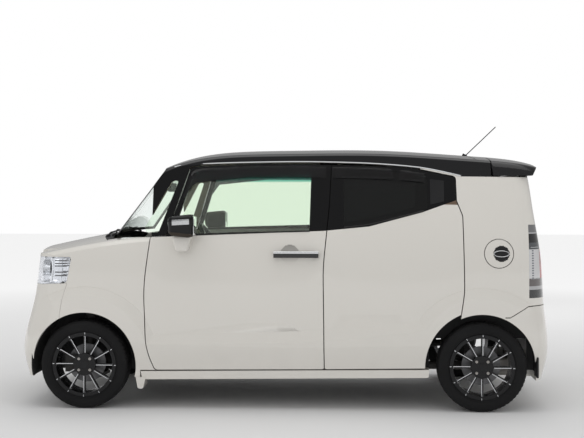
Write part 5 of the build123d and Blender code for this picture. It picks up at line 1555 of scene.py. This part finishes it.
    def door_mirror(self, side: Side) -> None:
        """The door mirror: a rounded cap, its silver strip, the mirror's face and a tapered foot."""
        body, node, out = f"front_door_{side.word}", f"mirror_{side.word}", side.value
        def box(low: Point, high: Point) -> Blank:
            """A block on the side that the mirror is on."""
            y1, y2 = sorted((out * low[1], out * high[1]))
            return Blank.block((low[0], y1, low[2]), (high[0], y2, high[2]))
        cap = box((0.531, 0.764, 1.094), (0.699, 0.929, 1.243))
        cap.edit(lambda: bpy.ops.transform.resize(value=(1.0, 0.78, 0.80)), lambda c, n: n.x > 0.9)
        cap.edit(lambda: bpy.ops.transform.resize(value=(0.92, 0.88, 1.0)), lambda c, n: n.z < -0.7)
        cap.round_edges(0.034, 7).smooth(50)
        skin = Skin({node: cap.obj}, [node])
        def place(u: float, v: float) -> Point:
            """A point of the strip on the cap."""
            return skin.from_side(0.556 + u * 0.108, 1.180 + v * 0.034 - u * 0.006, 0.0008, side, 0.920)
        strip = Blank.sheet(18, 6, place)
        strip.modify("SOLIDIFY", thickness=0.0018, offset=0.0)
        strip.outward().smooth().finish(f"mirror_strip_{side.word}", Finishes.SATIN_CHROME, body, "chrome")
        cap.finish(f"mirror_cap_{side.word}", Finishes.GLOSS_BLACK, body, "black_trim", [node])
        face = box((0.5292, 0.786, 1.112), (0.5325, 0.908, 1.226))
        face.round_edges(0.001, 2).smooth().finish(f"mirror_face_{side.word}", Finishes.MIRROR, body, "chrome", [node])
        foot = box((0.588, 0.690, 1.006), (0.662, 0.800, 1.104))
        foot.edit(lambda: bpy.ops.transform.resize(value=(1.65, 1.1, 1.0)), lambda c, n: n.z > 0.9)
        foot.round_edges(0.014, 5).smooth(50).finish(f"mirror_foot_{side.word}", Finishes.PEARL, body, "paint", [node])

    def belt_moulding(self, side: Side) -> None:
        """The weather strips at the foot of the door windows."""
        rows = {"front": ((0.690, 1.107), (0.30, 1.120), (-0.178, 1.133)),
                "rear": ((-0.395, 1.156), (-0.560, 1.174), (-0.90, 1.262))}
        for end, line in rows.items():
            skin = self.skin_of(f"{end}_window_frame_{side.word}", f"{end}_door_{side.word}",
                                f"{end}_door_glass_{side.word}")
            run = [along(list(line), i / 8) for i in range(9)]
            points = [skin.from_side(x, z, 0.001, side, 0.66) for x, z in run]
            tube(points, 0.0045).finish(f"belt_strip_{end}_{side.word}", Finishes.RUBBER, f"{end}_door_{side.word}",
                                        "black_trim")

    def tail_lamp_trim(self, side: Side) -> None:
        """The bright rails that frame the clear band of the tail lamp."""
        skin = self.skin_of("tail_lamps")
        for index, z in enumerate((0.837, 1.033)):
            line = [(-1.562 - i * 0.012, z) for i in range(6)]
            points = [skin.from_side(x, zz, 0.0006, side, 0.62) for x, zz in line]
            tube(points, 0.0025).finish(f"tail_lamp_rail_{side.word}_{index}", Finishes.SATIN_CHROME, "root", "chrome")

    def mud_flap(self, side: Side) -> None:
        """The flap behind the rear wheel."""
        y1, y2 = sorted((side.value * 0.600, side.value * 0.705))
        flap = Blank.block((-1.612, y1, 0.215), (-1.600, y2, 0.345))
        flap.round_edges(0.004, 3).smooth().finish(f"mud_flap_{side.word}", Finishes.SATIN_BLACK, "root", "black_trim")

    def fuel_grip(self) -> None:
        """The finger recess of the fuel lid and its bright outline."""
        skin = self.skin_of("fuel_lid")
        x, z = -1.380, 0.993
        ring = []
        for i in range(16):
            a = 2 * math.pi * i / 16
            ring.append(skin.from_side(x + 0.048 * math.cos(a), z + 0.019 * math.sin(a), 0.0008, Side.LEFT, 0.715))
        tube(ring, 0.0028, closed=True).finish("fuel_grip_rim", Finishes.CHROME, "fuel_lid", "chrome")
        def place(u: float, v: float) -> Point:
            """A point of the dish."""
            return skin.from_side(x + (u - 0.5) * 0.11, z + (v - 0.5) * 0.11, 0.0004, Side.LEFT, 0.715)
        dish = Blank.sheet(22, 22, place)
        dish.keep(lambda c, n: math.hypot(c.x - x, c.z - z) < 0.050)
        dish.modify("SOLIDIFY", thickness=0.0006, offset=0.0)
        dish.outward().smooth().finish("fuel_grip_dish", Finishes.SATIN_BLACK, "fuel_lid", "black_trim")

    def plates(self) -> None:
        """Blank number plates front and rear on their holders."""
        front = self.skin_of("front_bumper", "grilles")
        x = max(front.from_front(0.0, z, 0.0, 1.66)[0] for z in (0.50, 0.56, 0.62))
        plate = Blank.block((x - 0.002, -0.165, 0.505), (x + 0.005, 0.165, 0.670))
        plate.inset(0.006, -0.0012, lambda c, n: n.x > 0.9).round_edges(0.0012, 2).smooth()
        plate.finish("front_plate", Finishes.PLATE, "root", "paint")
        rear = self.skin_of("tailgate")
        x = min(rear.from_back(0.0, z, 0.0, -1.66)[0] for z in (0.70, 0.78, 0.86))
        plate = Blank.block((x - 0.005, -0.165, 0.700), (x + 0.002, 0.165, 0.865))
        plate.inset(0.006, -0.0012, lambda c, n: n.x < -0.9).round_edges(0.0012, 2).smooth()
        plate.finish("rear_plate", Finishes.PLATE, "tailgate", "paint")

    def grille_bar(self) -> None:
        """The bright bar across the upper grille."""
        skin = self.skin_of("grilles")
        for index, z in enumerate((0.945, 0.815)):
            points = [skin.from_front(y, z, 0.001, 1.66) for y in [-0.360 + i * 0.06 for i in range(13)]]
            tube(points, 0.006).finish(f"grille_bar_{index}", Finishes.CHROME, "root", "chrome")

    def wipers(self) -> None:
        """The windscreen wipers' arms and blades, which lie along the foot of the glass."""
        skin = self.skin_of("windscreen", "cowl")
        arms, blades = [], []
        for pivot_x, pivot_y in ((1.168, 0.430), (1.182, -0.080)):
            reach = [skin.from_above(pivot_x + (1.136 - pivot_x) * i / 5, pivot_y - i * 0.040, 0.018, 1.110)
                     for i in range(1, 6)]
            arms.append(tube([(pivot_x, pivot_y, 1.094), (pivot_x - 0.004, pivot_y - 0.030, 1.112)] + reach[1:],
                             0.0055))
            arms.append(Blank.drum((pivot_x, pivot_y, 1.086), 0.013, 0.022, "Z", 24).round_edges(0.003, 2))
            run = [skin.from_above(1.134 - 0.004 * abs(i) / 6, pivot_y - 0.180 + i * 0.037, 0.008, 1.120)
                   for i in range(-6, 7)]
            blades.append(tube(run, 0.0055))
        arms[0].join(arms[1:]).smooth().finish("wiper_arms", Finishes.SATIN_BLACK, "root", "black_trim", ["wipers"])
        blades[0].join(blades[1:]).smooth().finish("wiper_blades", Finishes.RUBBER, "root", "black_trim", ["wipers"])

    def rear_wiper(self) -> None:
        """The tailgate's wiper, parked low on the glass."""
        skin = self.skin_of("tailgate", "tailgate_glass")
        pivot = skin.from_back(0.0, 1.118, 0.004, -1.63)
        run = [skin.from_back(0.02 - i * 0.05, 1.120 + 0.012 * i, 0.010, -1.63) for i in range(8)]
        arm = tube([pivot] + run, 0.0045).join([Blank.drum(pivot, 0.016, 0.022, "X", 24).round_edges(0.003, 2)])
        arm.smooth().finish("rear_wiper", Finishes.SATIN_BLACK, "tailgate", "black_trim")

    def gutter_band(self) -> None:
        """The high stop lamp in the spoiler's rear edge."""
        skin = self.skin_of("spoiler")
        def place(u: float, v: float) -> Point:
            """A point of the lamp."""
            return skin.from_back(-0.14 + u * 0.28, 1.545 + v * 0.018, 0.0008, -1.62)
        lamp = Blank.sheet(20, 3, place)
        lamp.modify("SOLIDIFY", thickness=0.002, offset=0.0)
        lamp.outward().smooth().finish("high_stop_lamp", Finishes.RED_LENS, "tailgate", "lamp_glass")


# ---- Studio ---------------------------------------------------------------------------------------
@dataclass(frozen=True)
class FloorFinish(Finish):
    """A matt pale floor that fades to white away from the car."""

    near: float = 2.4
    far: float = 9.0
    lift: float = 0.42

    def dress(self, tree: bpy.types.NodeTree, shader: bpy.types.Node, place: bpy.types.NodeSocket) -> None:
        """A faint glow that grows with distance from the middle."""
        length = tree.nodes.new("ShaderNodeVectorMath")
        length.operation = "LENGTH"
        link_in(tree, place, length.inputs[0])
        shader.inputs["Emission Color"].default_value = (1.0, 1.0, 1.0, 1.0)
        link_in(tree, ramp(tree, length.outputs["Value"], self.near, self.far, 0.0, self.lift),
                shader.inputs["Emission Strength"])


@dataclass
class Studio:
    """A plain pale floor, soft lamps and the camera."""

    eye: Point = (-0.425, 7.3645, 1.355)
    aim: Point = (0.0506, -0.9987, 0.0)
    lens: float = 65.03
    shift: tuple[float, float] = (-0.00565, -0.0394)
    diffuse_level: float = 0.62
    glossy_level: float = 0.38
    floor_shade: float = 0.80
    lamps: tuple[tuple[str, Point, float, float], ...] = (
        ("overhead", (0.0, 0.5, 4.6), 5.0, 70.0),
        ("camera_side", (1.5, 6.0, 3.4), 3.5, 30.0),
        ("far_side", (-1.0, -5.5, 3.2), 3.5, 40.0),
        ("nose", (6.5, 1.0, 2.6), 3.0, 25.0),
        ("tail", (-6.5, 1.0, 2.6), 3.0, 25.0),
    )

    def build(self) -> None:
        """Builds the floor, world, lamps and camera."""
        self.floor()
        self.world()
        for name, place, size, power in self.lamps:
            self.lamp(name, place, size, power)
        self.camera()

    def floor(self) -> None:
        """A pale floor that shows white to the camera but keeps the shadow."""
        alone_none()
        bpy.ops.mesh.primitive_plane_add(size=60, location=(0, 0, 0))
        floor = bpy.context.object
        floor.name = "studio_floor"
        floor.data.materials.append(FloorFinish("studio_floor", (self.floor_shade,) * 3 + (1.0,), 0.75).material())

    def world(self) -> None:
        """A pale surround, white behind the car."""
        world = bpy.data.worlds.new("studio")
        bpy.context.scene.world = world
        world.use_nodes = True
        tree = world.node_tree
        ground = next(n for n in tree.nodes if n.type == "BACKGROUND")
        path = tree.nodes.new("ShaderNodeLightPath")
        seen = maths(tree, "MAXIMUM", path.outputs["Is Camera Ray"], path.outputs["Is Transmission Ray"])
        base = ramp(tree, path.outputs["Is Glossy Ray"], 0.0, 1.0, self.diffuse_level, self.glossy_level)
        lift = maths(tree, "MULTIPLY", seen, maths(tree, "SUBTRACT", 1.0, base))
        link_in(tree, maths(tree, "ADD", base, lift), ground.inputs["Strength"])
        ground.inputs["Color"].default_value = (1.0, 1.0, 1.0, 1.0)

    def lamp(self, name: str, place: Point, size: float, power: float) -> None:
        """A square soft lamp that faces the car."""
        data = bpy.data.lights.new(name, "AREA")
        data.size, data.energy = size, power
        obj = bpy.data.objects.new(name, data)
        bpy.context.scene.collection.objects.link(obj)
        obj.visible_glossy = name == "overhead"
        obj.location = place
        obj.rotation_euler = (Vector((0, 0, 0.7)) - Vector(place)).to_track_quat("-Z", "Y").to_euler()

    def camera(self) -> None:
        """The camera at the car's left side, level, a little behind its middle."""
        data = bpy.data.cameras.new("camera")
        data.lens, data.sensor_width = self.lens, 36.0
        data.shift_x, data.shift_y = self.shift
        obj = bpy.data.objects.new("camera", data)
        bpy.context.scene.collection.objects.link(obj)
        obj.location = self.eye
        obj.rotation_euler = Vector(self.aim).to_track_quat("-Z", "Y").to_euler()
        bpy.context.scene.camera = obj


def main() -> None:
    """Builds the dressed car."""
    logging.basicConfig(level=logging.INFO)
    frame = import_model()
    alone_none()
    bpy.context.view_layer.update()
    bpy.context.scene.view_settings.view_transform = "Standard"
    nodes = frame["nodes"]
    Studio().build()
    body = Bodywork(nodes)
    body.dress_nodes()
    body.build()
    Headlamps(nodes).build()
    for end, x in (("front", 1.260), ("rear", -1.260)):
        for side in Side:
            Wheel(nodes, end, side, x).build()
    Seats().build()
    Dashboard().build(Skin(nodes, ["dashboard"]))
    FloorMats().build()


if __name__ == "__main__":
    main()
